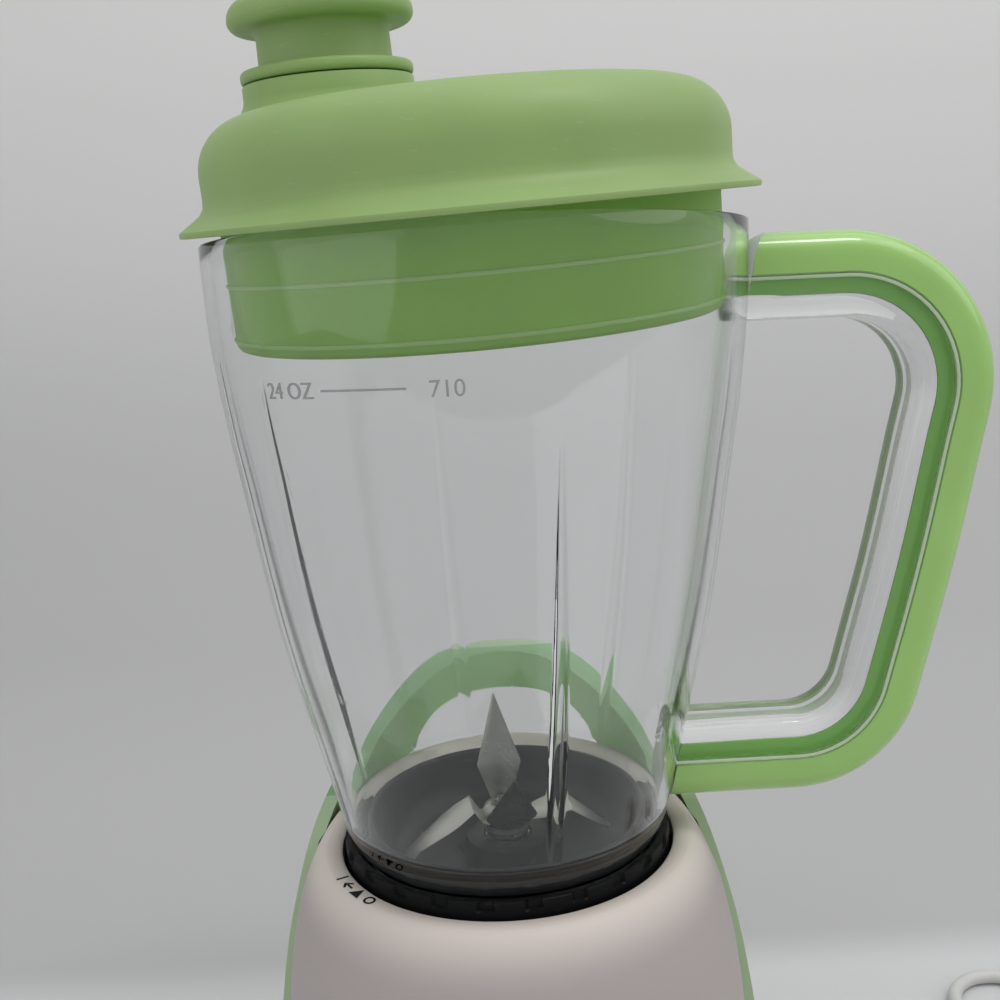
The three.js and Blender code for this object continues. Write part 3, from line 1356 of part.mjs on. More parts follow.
// The plug lies flat at the end of the tail, its two pins pointing away from the cord
function buildPlug(end, heading) {
  const half = plugWidth / 2;
  const shape = outline([
    [half - plugTaper, 0], [half, plugLength / 2], [half, plugLength - plugCorner],
    [half - plugCorner, plugLength], [plugCorner - half, plugLength], [-half, plugLength - plugCorner],
    [-half, plugLength / 2], [plugTaper - half, 0],
  ]);
  const turn = heading - Math.PI / 2;
  let body = solid(raised(shape, 0, plugHeight));
  const sink = pinLength / 2;
  for (const side of [-1, 1]) {
    const room = block(pinThickness + 2 * fit, sink + fit, pinWidth + 2 * fit,
      side * pinSpacing / 2, plugLength - (sink + fit) / 2 + fit / 2, (plugHeight - pinWidth) / 2 - fit);
    body = body.subtract(solid(room));
  }
  const bodyGeometry = geometryOf(body).rotateZ(turn).translate(end.x, end.y, 0);
  add('plug_body', bodyGeometry, whiteCord(), cordGroup);
  [-1, 1].forEach((side, i) => {
    const pin = block(pinThickness, pinLength + sink - fit, pinWidth, side * pinSpacing / 2,
      plugLength + (pinLength - sink + fit) / 2, (plugHeight - pinWidth) / 2);
    add(`plug_pin_${i + 1}`, pin.rotateZ(turn).translate(end.x, end.y, 0), steel(), cordGroup);
  });
}

function buildCord() {
  const relief = [[0, reliefStart - shellWall - reliefSeat - reliefHeadThickness]];
  const headBack = relief[0][1];
  relief.push([reliefHead, headBack], [reliefHead, headBack + reliefHeadThickness],
    [reliefRadius - fit, headBack + reliefHeadThickness], [reliefRadius - fit, reliefStart]);
  for (let i = 0; i < reliefRings; i += 1) {
    const z0 = reliefStart + (reliefLength * i) / reliefRings;
    const z1 = reliefStart + (reliefLength * (i + 0.6)) / reliefRings;
    const z2 = reliefStart + (reliefLength * (i + 0.75)) / reliefRings;
    const r0 = reliefRadius + ((reliefTipRadius - reliefRadius) * i) / reliefRings;
    const r1 = reliefRadius + ((reliefTipRadius - reliefRadius) * (i + 1)) / reliefRings;
    relief.push([r0, z0 + fit / 2], [r0, z1], [r1 - reliefNeck / 3, z2]);
  }
  relief.push([reliefTipRadius - reliefNeck / 3, reliefEnd], [0, reliefEnd]);
  add('strain_relief', placed(turned(relief, tinyFacets).rotateX(-Math.PI / 2), 0, 0, cordExitHeight), whiteCord(), cordGroup);
  const coil = coilCentreLine();
  console.log('least gap of the cord coil to itself, mm:', leastSelfGap(coil).toFixed(2));
  add('cord_coil', ringTube(coil, cordDiameter / 2, coilSides), whiteCord(), cordGroup);
  const lead = routeCurve(leadRoute);
  const tail = routeCurve(tailRoute);
  const step = cordStepShare * cordDiameter;
  const leadTube = tube(lead, cordDiameter / 2, cordSides, Math.round(lead.getLength() / step));
  add('cord_lead', leadTube, whiteCord(), cordGroup);
  const tailTube = tube(tail, cordDiameter / 2, cordSides, Math.round(tail.getLength() / step));
  add('cord_tail', tailTube, whiteCord(), cordGroup);
  let whole = lead.getLength() + tail.getLength();
  for (let i = 0; i + 1 < coil.length; i += 1) {
    whole += coil[i].distanceTo(coil[i + 1]);
  }
  console.log('length of the cord, mm:', whole.toFixed(0));
  const end = tail.getPoint(1);
  const along = tail.getTangent(1);
  end.addScaledVector(along, joinGap);
  buildPlug(end, Math.atan2(along.y, along.x));
}

buildFrontShell();
buildRearShell();
buildBottom();
buildSocket();
buildInterlock();
buildMotor();
buildJar();
buildBladeBase();
buildBlades();
buildLid();
buildStopper();
tiltLid();
buildCord();

assembly.add(lidGroup);
assembly.updateMatrixWorld(true);
const middle = new THREE.Box3().setFromObject(assembly).getCenter(new THREE.Vector3());
const part = new THREE.Group();
part.add(assembly);
part.add(cordGroup);
part.position.set(-middle.x, -middle.y, 0);
console.log('axis of the jar after centring, mm:', (-middle.x).toFixed(4), (-middle.y).toFixed(4));

export default part;
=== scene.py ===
# %% [markdown]
# # A small food maker, dressed over its frame
# The solids of the part come in as a fixed frame of separate bodies. This lesson gives them
# their looks: finer forms over the frame, the finishes, a floor, soft light and a camera.
# Every length below is written in millimetres and turned into metres by `mm`.

# %% Load the frame
import math
import bpy
import bmesh
from mathutils import Matrix, Vector


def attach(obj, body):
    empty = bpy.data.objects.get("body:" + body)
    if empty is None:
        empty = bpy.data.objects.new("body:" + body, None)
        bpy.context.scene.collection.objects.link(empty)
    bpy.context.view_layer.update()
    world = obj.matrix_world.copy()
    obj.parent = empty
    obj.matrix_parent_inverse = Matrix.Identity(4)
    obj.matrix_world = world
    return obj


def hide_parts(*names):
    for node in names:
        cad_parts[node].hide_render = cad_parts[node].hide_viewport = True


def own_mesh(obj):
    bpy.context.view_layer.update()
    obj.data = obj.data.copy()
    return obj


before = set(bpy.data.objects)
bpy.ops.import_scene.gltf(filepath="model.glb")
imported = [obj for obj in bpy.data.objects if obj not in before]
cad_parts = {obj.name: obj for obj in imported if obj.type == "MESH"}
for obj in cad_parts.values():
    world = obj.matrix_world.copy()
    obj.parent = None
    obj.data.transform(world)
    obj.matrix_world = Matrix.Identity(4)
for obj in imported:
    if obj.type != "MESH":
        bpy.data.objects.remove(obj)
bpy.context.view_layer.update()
mm = 0.001
jar_axis = Vector((-26.3869, -8.3481, 0)) * mm


# %% [markdown]
# ## Camera
# The photograph looks slightly down on the jar from the front, a hand's height above the deck,
# with a small roll. The camera comes first, because what it sees decides where the cord may lie.

# %% Place the camera
def from_axis(x, y, z):
    return Vector((x, y, z)) * mm + jar_axis


camera_data = bpy.data.cameras.new("photo_camera")
camera_data.angle = 2 * math.atan(500 / 1080)
camera = bpy.data.objects.new("photo_camera", camera_data)
bpy.context.collection.objects.link(camera)
bpy.context.scene.camera = camera
pitch, roll = math.radians(9.8), math.radians(3.12)
forward = Vector((0, math.cos(pitch), -math.sin(pitch)))
level_right, level_up = Vector((1, 0, 0)), Vector((0, math.sin(pitch), math.cos(pitch)))
right = level_right * math.cos(roll) - level_up * math.sin(roll)
upward = level_right * math.sin(roll) + level_up * math.cos(roll)
turn = Matrix((right, upward, -forward)).transposed()
camera.matrix_world = Matrix.Translation(from_axis(2.65, -256, 247)) @ turn.to_4x4()
print("camera at", [round(v, 4) for v in camera.location])


# %% [markdown]
# ## Building helpers
# Most pieces of a moulded appliance are turned, swept or joined from rings. A profile is spun
# about the jar's axis with `bmesh.ops.spin`; a hull of changing section is a stack of circles
# that `bridge_loops` joins. Both leave one closed skin whose normals are then worked out.

# %% Piece helpers
def new_piece(name, mesh_maker, body, *nodes, smooth=40):
    mesh = bpy.data.meshes.new(name)
    mesh_maker.to_mesh(mesh)
    mesh_maker.free()
    piece = bpy.data.objects.new(name, mesh)
    bpy.context.collection.objects.link(piece)
    for polygon in mesh.polygons:
        polygon.use_smooth = True
    mesh.set_sharp_from_angle(angle=math.radians(smooth))
    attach(piece, body)
    if nodes:
        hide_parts(*nodes)
    return piece


def shift(mesh_maker, offset):
    bmesh.ops.translate(mesh_maker, verts=mesh_maker.verts, vec=offset)


def spun(profile, steps=96, centre=(0, 0)):
    """A closed profile of (radius, height) pairs, in millimetres, turned about an upright axis."""
    made = bmesh.new()
    verts = [made.verts.new((r * mm, 0, z * mm)) for r, z in profile]
    edges = [made.edges.new((verts[i], verts[(i + 1) % len(verts)])) for i in range(len(verts))]
    bmesh.ops.spin(made, geom=verts + edges, cent=(0, 0, 0), axis=(0, 0, 1), angle=2 * math.pi,
                   steps=steps, use_merge=True)
    bmesh.ops.remove_doubles(made, verts=made.verts, dist=1e-6)
    bmesh.ops.dissolve_degenerate(made, edges=made.edges, dist=1e-7)
    bmesh.ops.recalc_face_normals(made, faces=made.faces)
    shift(made, from_axis(centre[0], centre[1], 0))
    return made


def stacked(rings, cap=True):
    """Rings of equal point counts, in millimetres, bridged into one skin and capped."""
    made = bmesh.new()
    loops = []
    for ring in rings:
        circle = bmesh.ops.create_circle(made, segments=len(ring), radius=1)["verts"]
        for vert, place in zip(circle, ring):
            vert.co = Vector(place) * mm
        loops.append(sorted({e for v in circle for e in v.link_edges}, key=lambda e: e.index))
    for lower, upper in zip(loops, loops[1:]):
        bmesh.ops.bridge_loops(made, edges=lower + upper)
    if cap:
        bmesh.ops.contextual_create(made, geom=loops[0])
        bmesh.ops.contextual_create(made, geom=loops[-1])
    bmesh.ops.recalc_face_normals(made, faces=made.faces)
    shift(made, jar_axis)
    return made


def merged(makers):
    base = makers[0]
    for other in makers[1:]:
        mesh = bpy.data.meshes.new("part")
        other.to_mesh(mesh)
        base.from_mesh(mesh)
        other.free()
        bpy.data.meshes.remove(mesh)
    return base


def smooth_line(points, steps):
    """Points on a smooth curve through the given ones, the ends kept."""
    line = [Vector(p) for p in points]
    out = []
    for i in range(len(line) - 1):
        before = line[i - 1] if i else line[0] * 2 - line[1]
        after = line[i + 2] if i + 2 < len(line) else line[-1] * 2 - line[-2]
        a, b = line[i], line[i + 1]
        for k in range(steps):
            t = k / steps
            out.append(((2 * a) + (b - before) * t + (2 * before - 5 * a + 4 * b - after) * t * t
                        + (3 * a - before - 3 * b + after) * t ** 3) * 0.5)
    out.append(line[-1])
    return out


def arc(cx, cy, radius, start, end, steps):
    angles = [math.radians(start + (end - start) * i / steps) for i in range(steps + 1)]
    return [(cx + radius * math.cos(a), cy + radius * math.sin(a)) for a in angles]


def cut_with(piece, cutters, operation="DIFFERENCE"):
    """Joins or cuts a piece with helper meshes, which are removed again."""
    for cutter in cutters:
        change = piece.modifiers.new("cut", "BOOLEAN")
        change.operation = operation
        change.solver = "EXACT"
        change.object = cutter
        done = piece.evaluated_get(bpy.context.evaluated_depsgraph_get())
        mesh = bpy.data.meshes.new_from_object(done)
        piece.modifiers.remove(change)
        piece.data = mesh
        bpy.data.objects.remove(cutter)
    piece.data.set_sharp_from_angle(angle=math.radians(40))


def helper_object(made, name="helper"):
    mesh = bpy.data.meshes.new(name)
    made.to_mesh(mesh)
    made.free()
    thing = bpy.data.objects.new(name, mesh)
    bpy.context.collection.objects.link(thing)
    return thing


# %% [markdown]
# ## Finishes
# A finish is a node tree. Writing it as sums keeps it readable, so a small class wraps a socket
# and turns Python's operators into Math nodes. Only colour, roughness and bump vary over a
# surface here; everything that is the same all over is set on the shader's own sockets.

# %% Shader helpers
class Amount:
    """A number that varies over a surface."""

    def __init__(self, finish, socket):
        self.finish, self.socket = finish, socket

    def sum_up(self, operation, first, second):
        return self.finish.node("ShaderNodeMath", {"operation": operation}, {0: first, 1: second})

    def __add__(self, other):
        return self.sum_up("ADD", self, other)

    def __radd__(self, other):
        return self.sum_up("ADD", other, self)

    def __sub__(self, other):
        return self.sum_up("SUBTRACT", self, other)

    def __rsub__(self, other):
        return self.sum_up("SUBTRACT", other, self)

    def __mul__(self, other):
        return self.sum_up("MULTIPLY", self, other)

    def __rmul__(self, other):
        return self.sum_up("MULTIPLY", other, self)

    def __pow__(self, other):
        return self.sum_up("POWER", self, other)


class Finish:
    """One material: the shader's fixed values, and the nodes that vary over the surface."""

    def __init__(self, name, colour, roughness, **fixed):
        self.material = bpy.data.materials.new(name)
        self.material.use_nodes = True
        self.tree = self.material.node_tree
        self.shader = self.tree.nodes["Principled BSDF"]
        self.output = self.tree.nodes["Material Output"]
        self.shader.inputs["Base Color"].default_value = (*colour, 1)
        self.shader.inputs["Roughness"].default_value = roughness
        for socket, value in fixed.items():
            self.shader.inputs[socket.replace("_", " ")].default_value = value
        self.point = self.node("ShaderNodeTexCoord", {}, {}, "Object")

    def node(self, kind, settings, values, out=0):
        made = self.tree.nodes.new(kind)
        for key, value in settings.items():
            if key == "stops":
                for stop, (place, tone) in zip(made.color_ramp.elements, value):
                    stop.position, stop.color = place, (tone, tone, tone, 1)
            else:
                setattr(made, key, value)
        for key, value in values.items():
            if isinstance(value, Amount):
                self.tree.links.new(value.socket, made.inputs[key])
            else:
                made.inputs[key].default_value = value
        return Amount(self, made.outputs[out])

    def noise(self, scale, detail=3, rough=0.5, point=None):
        return self.node("ShaderNodeTexNoise", {},
                         {"Vector": point or self.point, "Scale": scale, "Detail": detail, "Roughness": rough})

    def ramp(self, value, low, high, low_tone=0, high_tone=1):
        return self.node("ShaderNodeMapRange", {"interpolation_type": "SMOOTHSTEP"},
                         {"Value": value, "From Min": low, "From Max": high, "To Min": low_tone, "To Max": high_tone})

    def blend(self, share, first, second):
        return self.node("ShaderNodeMix", {"data_type": "RGBA"},
                         {0: share, 6: self.tone(first), 7: self.tone(second)}, 2)

    def tone(self, colour):
        return colour if isinstance(colour, Amount) else (*colour, 1)

    def feed(self, socket, value):
        self.tree.links.new(value.socket, self.shader.inputs[socket])

    def bump(self, height, strength, distance):
        normal = self.node("ShaderNodeBump", {}, {"Strength": strength, "Distance": distance, "Height": height})
        self.feed("Normal", normal)

    def on(self, *things):
        for thing in things:
            thing.data.materials.clear()
            thing.data.materials.append(self.material)


def scaled(colour, share):
    return tuple(c * share for c in colour)


# %% [markdown]
# Moulded plastics are never quite even. Large soft clouds shift the tone by a few percent, fine
# grain breaks up the gloss, and rare short scuffs catch the light. One function gives every
# moulded finish those three, at its own strength.

# %% Moulded plastics
def moulded(name, colour, roughness, cloud=0.06, grain=0.04, scuff=0.1, **fixed):
    finish = Finish(name, colour, roughness, **fixed)
    soft = finish.noise(22, 2)
    fine = finish.noise(900, 2)
    streak_point = finish.node("ShaderNodeMapping", {}, {"Vector": finish.point, "Scale": (260, 40, 900),
                                                          "Rotation": (0.3, 0.5, 0.2)})
    streak = finish.ramp(finish.noise(1, 2, 0.6, streak_point), 0.66, 0.74)
    dark, pale = scaled(colour, 1 - cloud), scaled(colour, 1 + cloud)
    tone = finish.blend(finish.ramp(soft, 0.35, 0.65), dark, pale)
    finish.feed("Base Color", finish.blend(streak * (scuff * 0.4), tone, (0.85, 0.85, 0.83)))
    finish.feed("Roughness", finish.ramp(soft, 0.3, 0.7, roughness - 0.03, roughness + 0.05) + streak * scuff)
    finish.bump(fine * grain + soft * 0.2, 0.15, 0.0004)
    return finish


white_shell = moulded("white_moulding", (0.53, 0.48, 0.465), 0.5, cloud=0.03, Specular_IOR_Level=0.35)
green_shell = moulded("green_moulding", (0.42, 0.57, 0.35), 0.35, cloud=0.05)
green_lid = moulded("soft_green_lid", (0.27, 0.405, 0.14), 0.43, cloud=0.05, grain=0.09, scuff=0.15,
                    Specular_IOR_Level=0.4)
# Painted light: the lid's plug gets a brighter, more saturated copy of the lid green, standing in for the light lost
# behind the jar wall.
plug_painted_light = moulded("plug_painted_light_green", (0.27, 0.56, 0.07), 0.45, cloud=0.05, grain=0.09)
# Painted highlight: the beads on the plug get a pale green, standing in for the light along their edges.
bead_painted_highlight = moulded("bead_painted_highlight_green", (0.42, 0.68, 0.22), 0.5, cloud=0.05)
# Painted light: the loop behind the jar gets two copies of the shell green. Faces turned to the front get a brighter
# one, standing in for the light the jar keeps off them. Faces turned upwards get a darker one, which is painted shade.
loop_rim_painted_shade = moulded("loop_rim_painted_shade_green", (0.24, 0.46, 0.2), 0.45, cloud=0.05)
loop_face_painted_light = moulded("loop_face_painted_light_green", (0.5, 0.9, 0.37), 0.4, cloud=0.05)
green_insert = moulded("gloss_green_insert", (0.32, 0.57, 0.15), 0.2, cloud=0.04, scuff=0.02, Coat_Weight=0.5)
# Painted light: the insert's tongue, seen through the clear channel, gets a brighter copy of the insert green. It
# stands in for the light that the clear bar keeps off it.
tongue_painted_light = moulded("tongue_painted_light_green", (0.27, 0.72, 0.09), 0.35, cloud=0.04)
black_moulding = moulded("black_moulding", (0.009, 0.0105, 0.013), 0.36, cloud=0.2, Specular_IOR_Level=0.36)
deep_black = moulded("deep_black_ring", (0.005, 0.0055, 0.006), 0.42, cloud=0.2, scuff=0.03, Specular_IOR_Level=0.12)
dark_moulding = moulded("dark_moulding", (0.05, 0.052, 0.056), 0.5, cloud=0.1)
grey_rubber = moulded("grey_rubber", (0.12, 0.12, 0.12), 0.75, cloud=0.1, grain=0.3)
pale_seal = moulded("pale_seal", (0.5, 0.5, 0.48), 0.6, cloud=0.05, grain=0.1)
cord_skin = moulded("cord_skin", (0.6, 0.595, 0.585), 0.45, cloud=0.04, grain=0.2)
# Painted light: the white shell's colour is painted dark on its walls and pale from just under the deck up. The dark
# tone stands in for the shade on the lower front, the pale tone for the top light on the shoulder and deck.
height = white_shell.node("ShaderNodeSeparateXYZ", {}, {0: white_shell.point}, 2)
white_shell.feed("Base Color", white_shell.blend(white_shell.ramp(height, 0.106, 0.1205), (0.42, 0.374, 0.367),
                                                 (0.72, 0.655, 0.6)))
print("moulded finishes:", len([m for m in bpy.data.materials if m.node_tree]))


# %% [markdown]
# Metals: the blades are stamped sheet steel, polished along their length and then washed many
# times, so their gloss wanders. Motor steel is dull and laminated, and copper is warm.

# %% Metals
def metal(name, colour, roughness, brush=(30, 400, 30), wander=0.12):
    finish = Finish(name, colour, roughness, Metallic=1.0)
    lines_point = finish.node("ShaderNodeMapping", {}, {"Vector": finish.point, "Scale": brush})
    lines = finish.noise(10, 3, 0.6, lines_point)
    cloud = finish.noise(120, 3)
    finish.feed("Roughness", finish.ramp(lines + cloud * 0.5, 0.5, 1, roughness - wander / 2, roughness + wander))
    finish.feed("Base Color", finish.blend(cloud, scaled(colour, 0.85), scaled(colour, 1.08)))
    finish.bump(lines, 0.03, 0.0002)
    return finish


# Painted light: both blade strips are the same steel. The upper strip gets a darker copy, standing in for the dark
# dish it reflects and for its shade. The lower strip gets a lighter copy, standing in for the light on its upturned
# wings.
upper_blade_painted_shade_steel = metal("upper_blade_painted_shade_steel", (0.27, 0.275, 0.255), 0.3)
lower_blade_painted_light_steel = metal("lower_blade_painted_light_steel", (0.85, 0.83, 0.78), 0.45)
plain_steel = metal("plain_steel", (0.5, 0.49, 0.47), 0.3)
core_steel = metal("laminated_core", (0.16, 0.165, 0.175), 0.5, brush=(20, 20, 2400))
copper_wire = metal("copper_winding", (0.66, 0.28, 0.12), 0.35, brush=(2000, 40, 40))
pin_brass = metal("pin_metal", (0.62, 0.55, 0.42), 0.25)

# %% [markdown]
# Clear plastic bends light and shows its edges dark and bright. The jar has been through a
# dishwasher: a faint haze and fine scratches sit on it, in the roughness and the bump only.


# %% Clear plastic
def clear_moulding(name, tint, roughness):
    finish = Finish(name, tint, roughness, Transmission_Weight=1.0, IOR=1.46)
    haze = finish.noise(40, 3)
    scratch_point = finish.node("ShaderNodeMapping", {}, {"Vector": finish.point, "Scale": (900, 900, 60),
                                                           "Rotation": (0.2, 0.1, 0.4)})
    scratch = finish.ramp(finish.noise(1, 2, 0.5, scratch_point), 0.7, 0.76)
    finish.feed("Roughness", finish.ramp(haze, 0.45, 0.75, roughness, roughness + 0.05) + scratch * 0.1)
    finish.bump(scratch, 0.02, 0.0002)
    return finish


jar_clear = clear_moulding("clear_jar", (0.975, 0.985, 0.985), 0.02)


# %% [markdown]
# ## Cord
# A light appliance like this has about a metre of thin two-core cord. It leaves low at the back
# through a tapered strain relief, lies in a flat two-layer coil behind the base, and its tail
# runs along the table to the plug, with the small bend that the photograph shows at the right.
# A Bezier curve with a round bevel is the plain way to make it.

# %% Cord route
cord_diameter = 4.5
lead_route = [(0, 92, 14), (0, 104, 14), (0, 112.6, 14), (-0.2, 118, 12.9), (-0.7, 124, 9.2), (-1.1, 130, 5.2),
              (-1, 136, 2.7), (-0.74, 139.4, 2.3), (-0.74, 141.2, 2.3)]
tail_route = [(60.74, 141.2, 7.4), (60.8, 138, 7.2), (61.3, 132, 6.2), (62.3, 124, 4.2), (63.8, 116, 2.9), (66, 107, 2.3),
              (69.5, 97, 2.3), (75, 86.5, 2.3), (83, 77, 2.3), (93, 69.5, 2.3), (105, 64.5, 2.3), (117.5, 62.2, 2.3),
              (130, 62, 2.3), (141.5, 64.2, 2.3), (148.6, 70.6, 2.3), (151, 79.5, 2.3), (153.2, 87.8, 2.3), (158.8, 94, 2.3),
              (166.5, 96.8, 2.3), (175, 95.2, 2.3), (181.6, 89, 2.3), (184, 80, 2.3), (184, 66, 2.3), (182, 55, 2.3),
              (179.5, 46, 2.3)]
coil_middle, coil_turns, coil_pitch = (30, 146), 2.25, 5.1


def coil_route():
    points = []
    start = 25 + coil_pitch * coil_turns / 2
    for i in range(round(2 * coil_turns * 16) + 1):
        turn = i / 16
        radius = start - coil_pitch * min(turn, 2 * coil_turns - turn)
        climb = min(max((turn - coil_turns + 0.25) / 0.5, 0), 1)
        angle = math.pi - 2 * math.pi * turn
        points.append((coil_middle[0] + radius * math.cos(angle), coil_middle[1] + radius * math.sin(angle),
                       2.3 + coil_pitch * climb))
    return points


def cord_curve(name, points, diameter):
    data = bpy.data.curves.new(name, "CURVE")
    data.dimensions = "3D"
    data.bevel_depth = diameter / 2 * mm
    data.bevel_resolution = 3
    data.resolution_u = 4
    data.use_fill_caps = True
    spline = data.splines.new("BEZIER")
    spline.bezier_points.add(len(points) - 1)
    for knot, place in zip(spline.bezier_points, points):
        knot.co = from_axis(*place)
        knot.handle_left_type = knot.handle_right_type = "AUTO"
    made = bpy.data.objects.new(name, data)
    bpy.context.collection.objects.link(made)
    return made


route = lead_route + coil_route() + tail_route
cord = cord_curve("mains_cord", route, cord_diameter)
cord_skin.on(cord)

# %% [markdown]
# The strain relief is a ribbed rubber cone: a stack of shrinking rings with slots between them.
# The plug is a small flat body with a waist for the fingers; its two pins stay the frame's own.


# %% Strain relief and plug
def relief_profile():
    shell_back = 85.5
    line = [(0, shell_back - 7), (6, shell_back - 7), (6, shell_back - 4.8), (4.6, shell_back - 4.8), (4.6, shell_back + 0.2),
            (6.2, shell_back + 0.3), (6.2, shell_back + 1.6)]
    rings = 6
    for i in range(rings):
        near = shell_back + 2.2 + 20.5 * i / rings
        far = near + 2.3
        radius = 5 - 1.8 * i / rings
        line += [(radius - 0.9, near - 0.3), (radius - 0.1, near), (radius, near + 0.4), (radius - 0.15, far),
                 (radius - 0.9, far + 0.2)]
    return line + [(2.9, shell_back + 24), (0, shell_back + 24)]


relief = spun(relief_profile(), 32)
shift(relief, -jar_axis)
bmesh.ops.rotate(relief, verts=relief.verts, cent=(0, 0, 0), matrix=Matrix.Rotation(-math.pi / 2, 3, "X"))
shift(relief, from_axis(0, 0, 14))
relief_piece = new_piece("cord_strain_relief", relief, "base", "strain_relief")
cord_skin.on(relief_piece)


def plug_shape():
    end, before = Vector(tail_route[-1]), Vector(tail_route[-2])
    along = (end - before).normalized()
    made = bmesh.new()
    bmesh.ops.create_cube(made, size=1)
    bmesh.ops.scale(made, verts=made.verts, vec=(20, 34, 13.6))
    bmesh.ops.subdivide_edges(made, edges=[e for e in made.edges if abs((e.verts[0].co - e.verts[1].co).y) > 1],
                              cuts=8)
    for vert in made.verts:
        share = (vert.co.y + 17) / 34
        taper = 0.42 + 0.58 * min(1, (share / 0.55) ** 0.7) - 0.1 * math.exp(-((share - 0.62) / 0.12) ** 2)
        vert.co.x *= taper
        vert.co.z *= 0.66 + 0.34 * min(1, share / 0.4)
    bmesh.ops.bevel(made, geom=[e for e in made.edges if e.calc_face_angle(0) > 0.6], offset=3, segments=4,
                    profile=0.5, affect="EDGES", material=-1)
    bmesh.ops.scale(made, verts=made.verts, vec=(mm, mm, mm))
    angle = math.atan2(along.y, along.x) - math.pi / 2
    bmesh.ops.rotate(made, verts=made.verts, cent=(0, 0, 0), matrix=Matrix.Rotation(angle, 3, "Z"))
    middle = end + along * 17.3
    shift(made, from_axis(middle.x, middle.y, 7))
    bmesh.ops.recalc_face_normals(made, faces=made.faces)
    return made


plug_piece = new_piece("mains_plug", plug_shape(), "base", "plug_body")
cord_skin.on(plug_piece)
pin_brass.on(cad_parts["plug_pin_1"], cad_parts["plug_pin_2"])
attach(cord, "base")
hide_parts("cord_lead", "cord_coil", "cord_tail")

# %% [markdown]
# ## Power base
# The white front shell is egg-shaped in plan: a half circle to the front, drawn out to the rear.
# Its section shrinks upwards and rolls over a soft shoulder into a flat deck with a round well.
# Stacked rings joined by bridging give this hull; the wall inside is a second, smaller stack.

# %% Sections of the two shells
deck = 118
front_sections = [(4.3, 61.5), (6, 62.1), (10, 62.5), (38, 61), (58, 59.5), (74, 58.1), (88, 56.6), (96, 55.1),
                  (103.6, 53.5), (109.8, 51.2), (113.4, 49.6), (116, 47.9), (117.4, 46.6), (118, 45.3)]
rear_sections = [(4.3, 65.6, 83.4), (10, 67.4, 85.6), (38, 66, 84), (58, 64.2, 82.2), (74, 61.9, 79.5),
                 (88, 59.4, 76.5), (103, 55.8, 72.9), (112, 53.4, 70.9), (118, 51.7, 69.6), (126, 49.5, 69),
                 (136, 47.4, 68.6), (146, 46, 68.3), (155, 45.3, 68.1)]


def value_at(table, at, column):
    points = [(row[0], row[column]) for row in table]
    for i in range(len(points) - 1):
        if at <= points[i + 1][0] or i == len(points) - 2:
            (x0, y0), (x1, y1) = points[i], points[i + 1]
            slope_at = lambda k: ((points[min(k + 1, len(points) - 1)][1] - points[max(k - 1, 0)][1])
                                  / (points[min(k + 1, len(points) - 1)][0] - points[max(k - 1, 0)][0]))
            t = min(max((at - x0) / (x1 - x0), 0), 1)
            m0, m1 = slope_at(i) * (x1 - x0), slope_at(i + 1) * (x1 - x0)
            return ((2 * t ** 3 - 3 * t * t + 1) * y0 + (t ** 3 - 2 * t * t + t) * m0
                    + (3 * t * t - 2 * t ** 3) * y1 + (t ** 3 - t * t) * m1)
    return points[-1][1]


def egg(side, front, rear, z, steps=144):
    ring = []
    for i in range(steps):
        angle = 2 * math.pi * i / steps
        reach = front if math.sin(angle) < 0 else rear
        ring.append((side * math.cos(angle), reach * math.sin(angle), z))
    return ring


def front_ring(z, inset=0):
    side = value_at(front_sections, z, 1) - inset
    return egg(side, side, side + 17, z)


def white_shell_shape():
    heights = [4.3, 5.2, 7, 10, 16, 24, 38, 52, 66, 80, 90, 98, 104, 108, 111, 113.2, 115, 116.4, 117.3, 117.8, 118]
    outer = [front_ring(z) for z in heights]
    well = [egg(r, r, r, 118) for r in (44.2,)] + [egg(41.6, 41.6, 41.6, z) for z in (117.5, 114)]
    well[0] = egg(42.2, 42.2, 42.2, 118)
    under = [front_ring(113, 2.6)]
    inner = [front_ring(z, 2.6) for z in (110, 104, 98, 90, 80, 66, 52, 38, 24, 10, 4.3)]
    plate = [egg(41.6, 41.6, 41.6, 114)]
    rings = outer + well + [front_ring(114, 4)][:0] + inner
    return stacked(rings + [], cap=False), rings


shell_maker, shell_rings = white_shell_shape()
open_edges = [e for e in shell_maker.edges if len(e.link_faces) == 1]
bmesh.ops.bridge_loops(shell_maker, edges=open_edges)
bmesh.ops.recalc_face_normals(shell_maker, faces=shell_maker.faces)
white_piece = new_piece("front_shell_skin", shell_maker, "base", "front_shell")
white_shell.on(white_piece)
print("white shell faces", len(white_piece.data.polygons))

# %% [markdown]
# The green rear shell hugs the white one and stands a little proud of it. Its front edge runs up
# the sides, sweeps back over the deck and rises to an open loop for carrying. The hull is a full
# stack of rings; a slab cut to the edge's curve takes the front away, and a rounded block cuts
# the loop's window. A bevel then softens every cut edge.

# %% Rear shell
rim_curve = [(6, -12), (6, 60), (6, 86), (7.2, 98), (9.6, 109), (14, 116), (21, 121.6), (31.3, 128.1), (42.5, 134.8),
             (51.3, 140.1), (58.8, 144.6), (65, 146.9), (75, 148.1), (90, 148.6)]


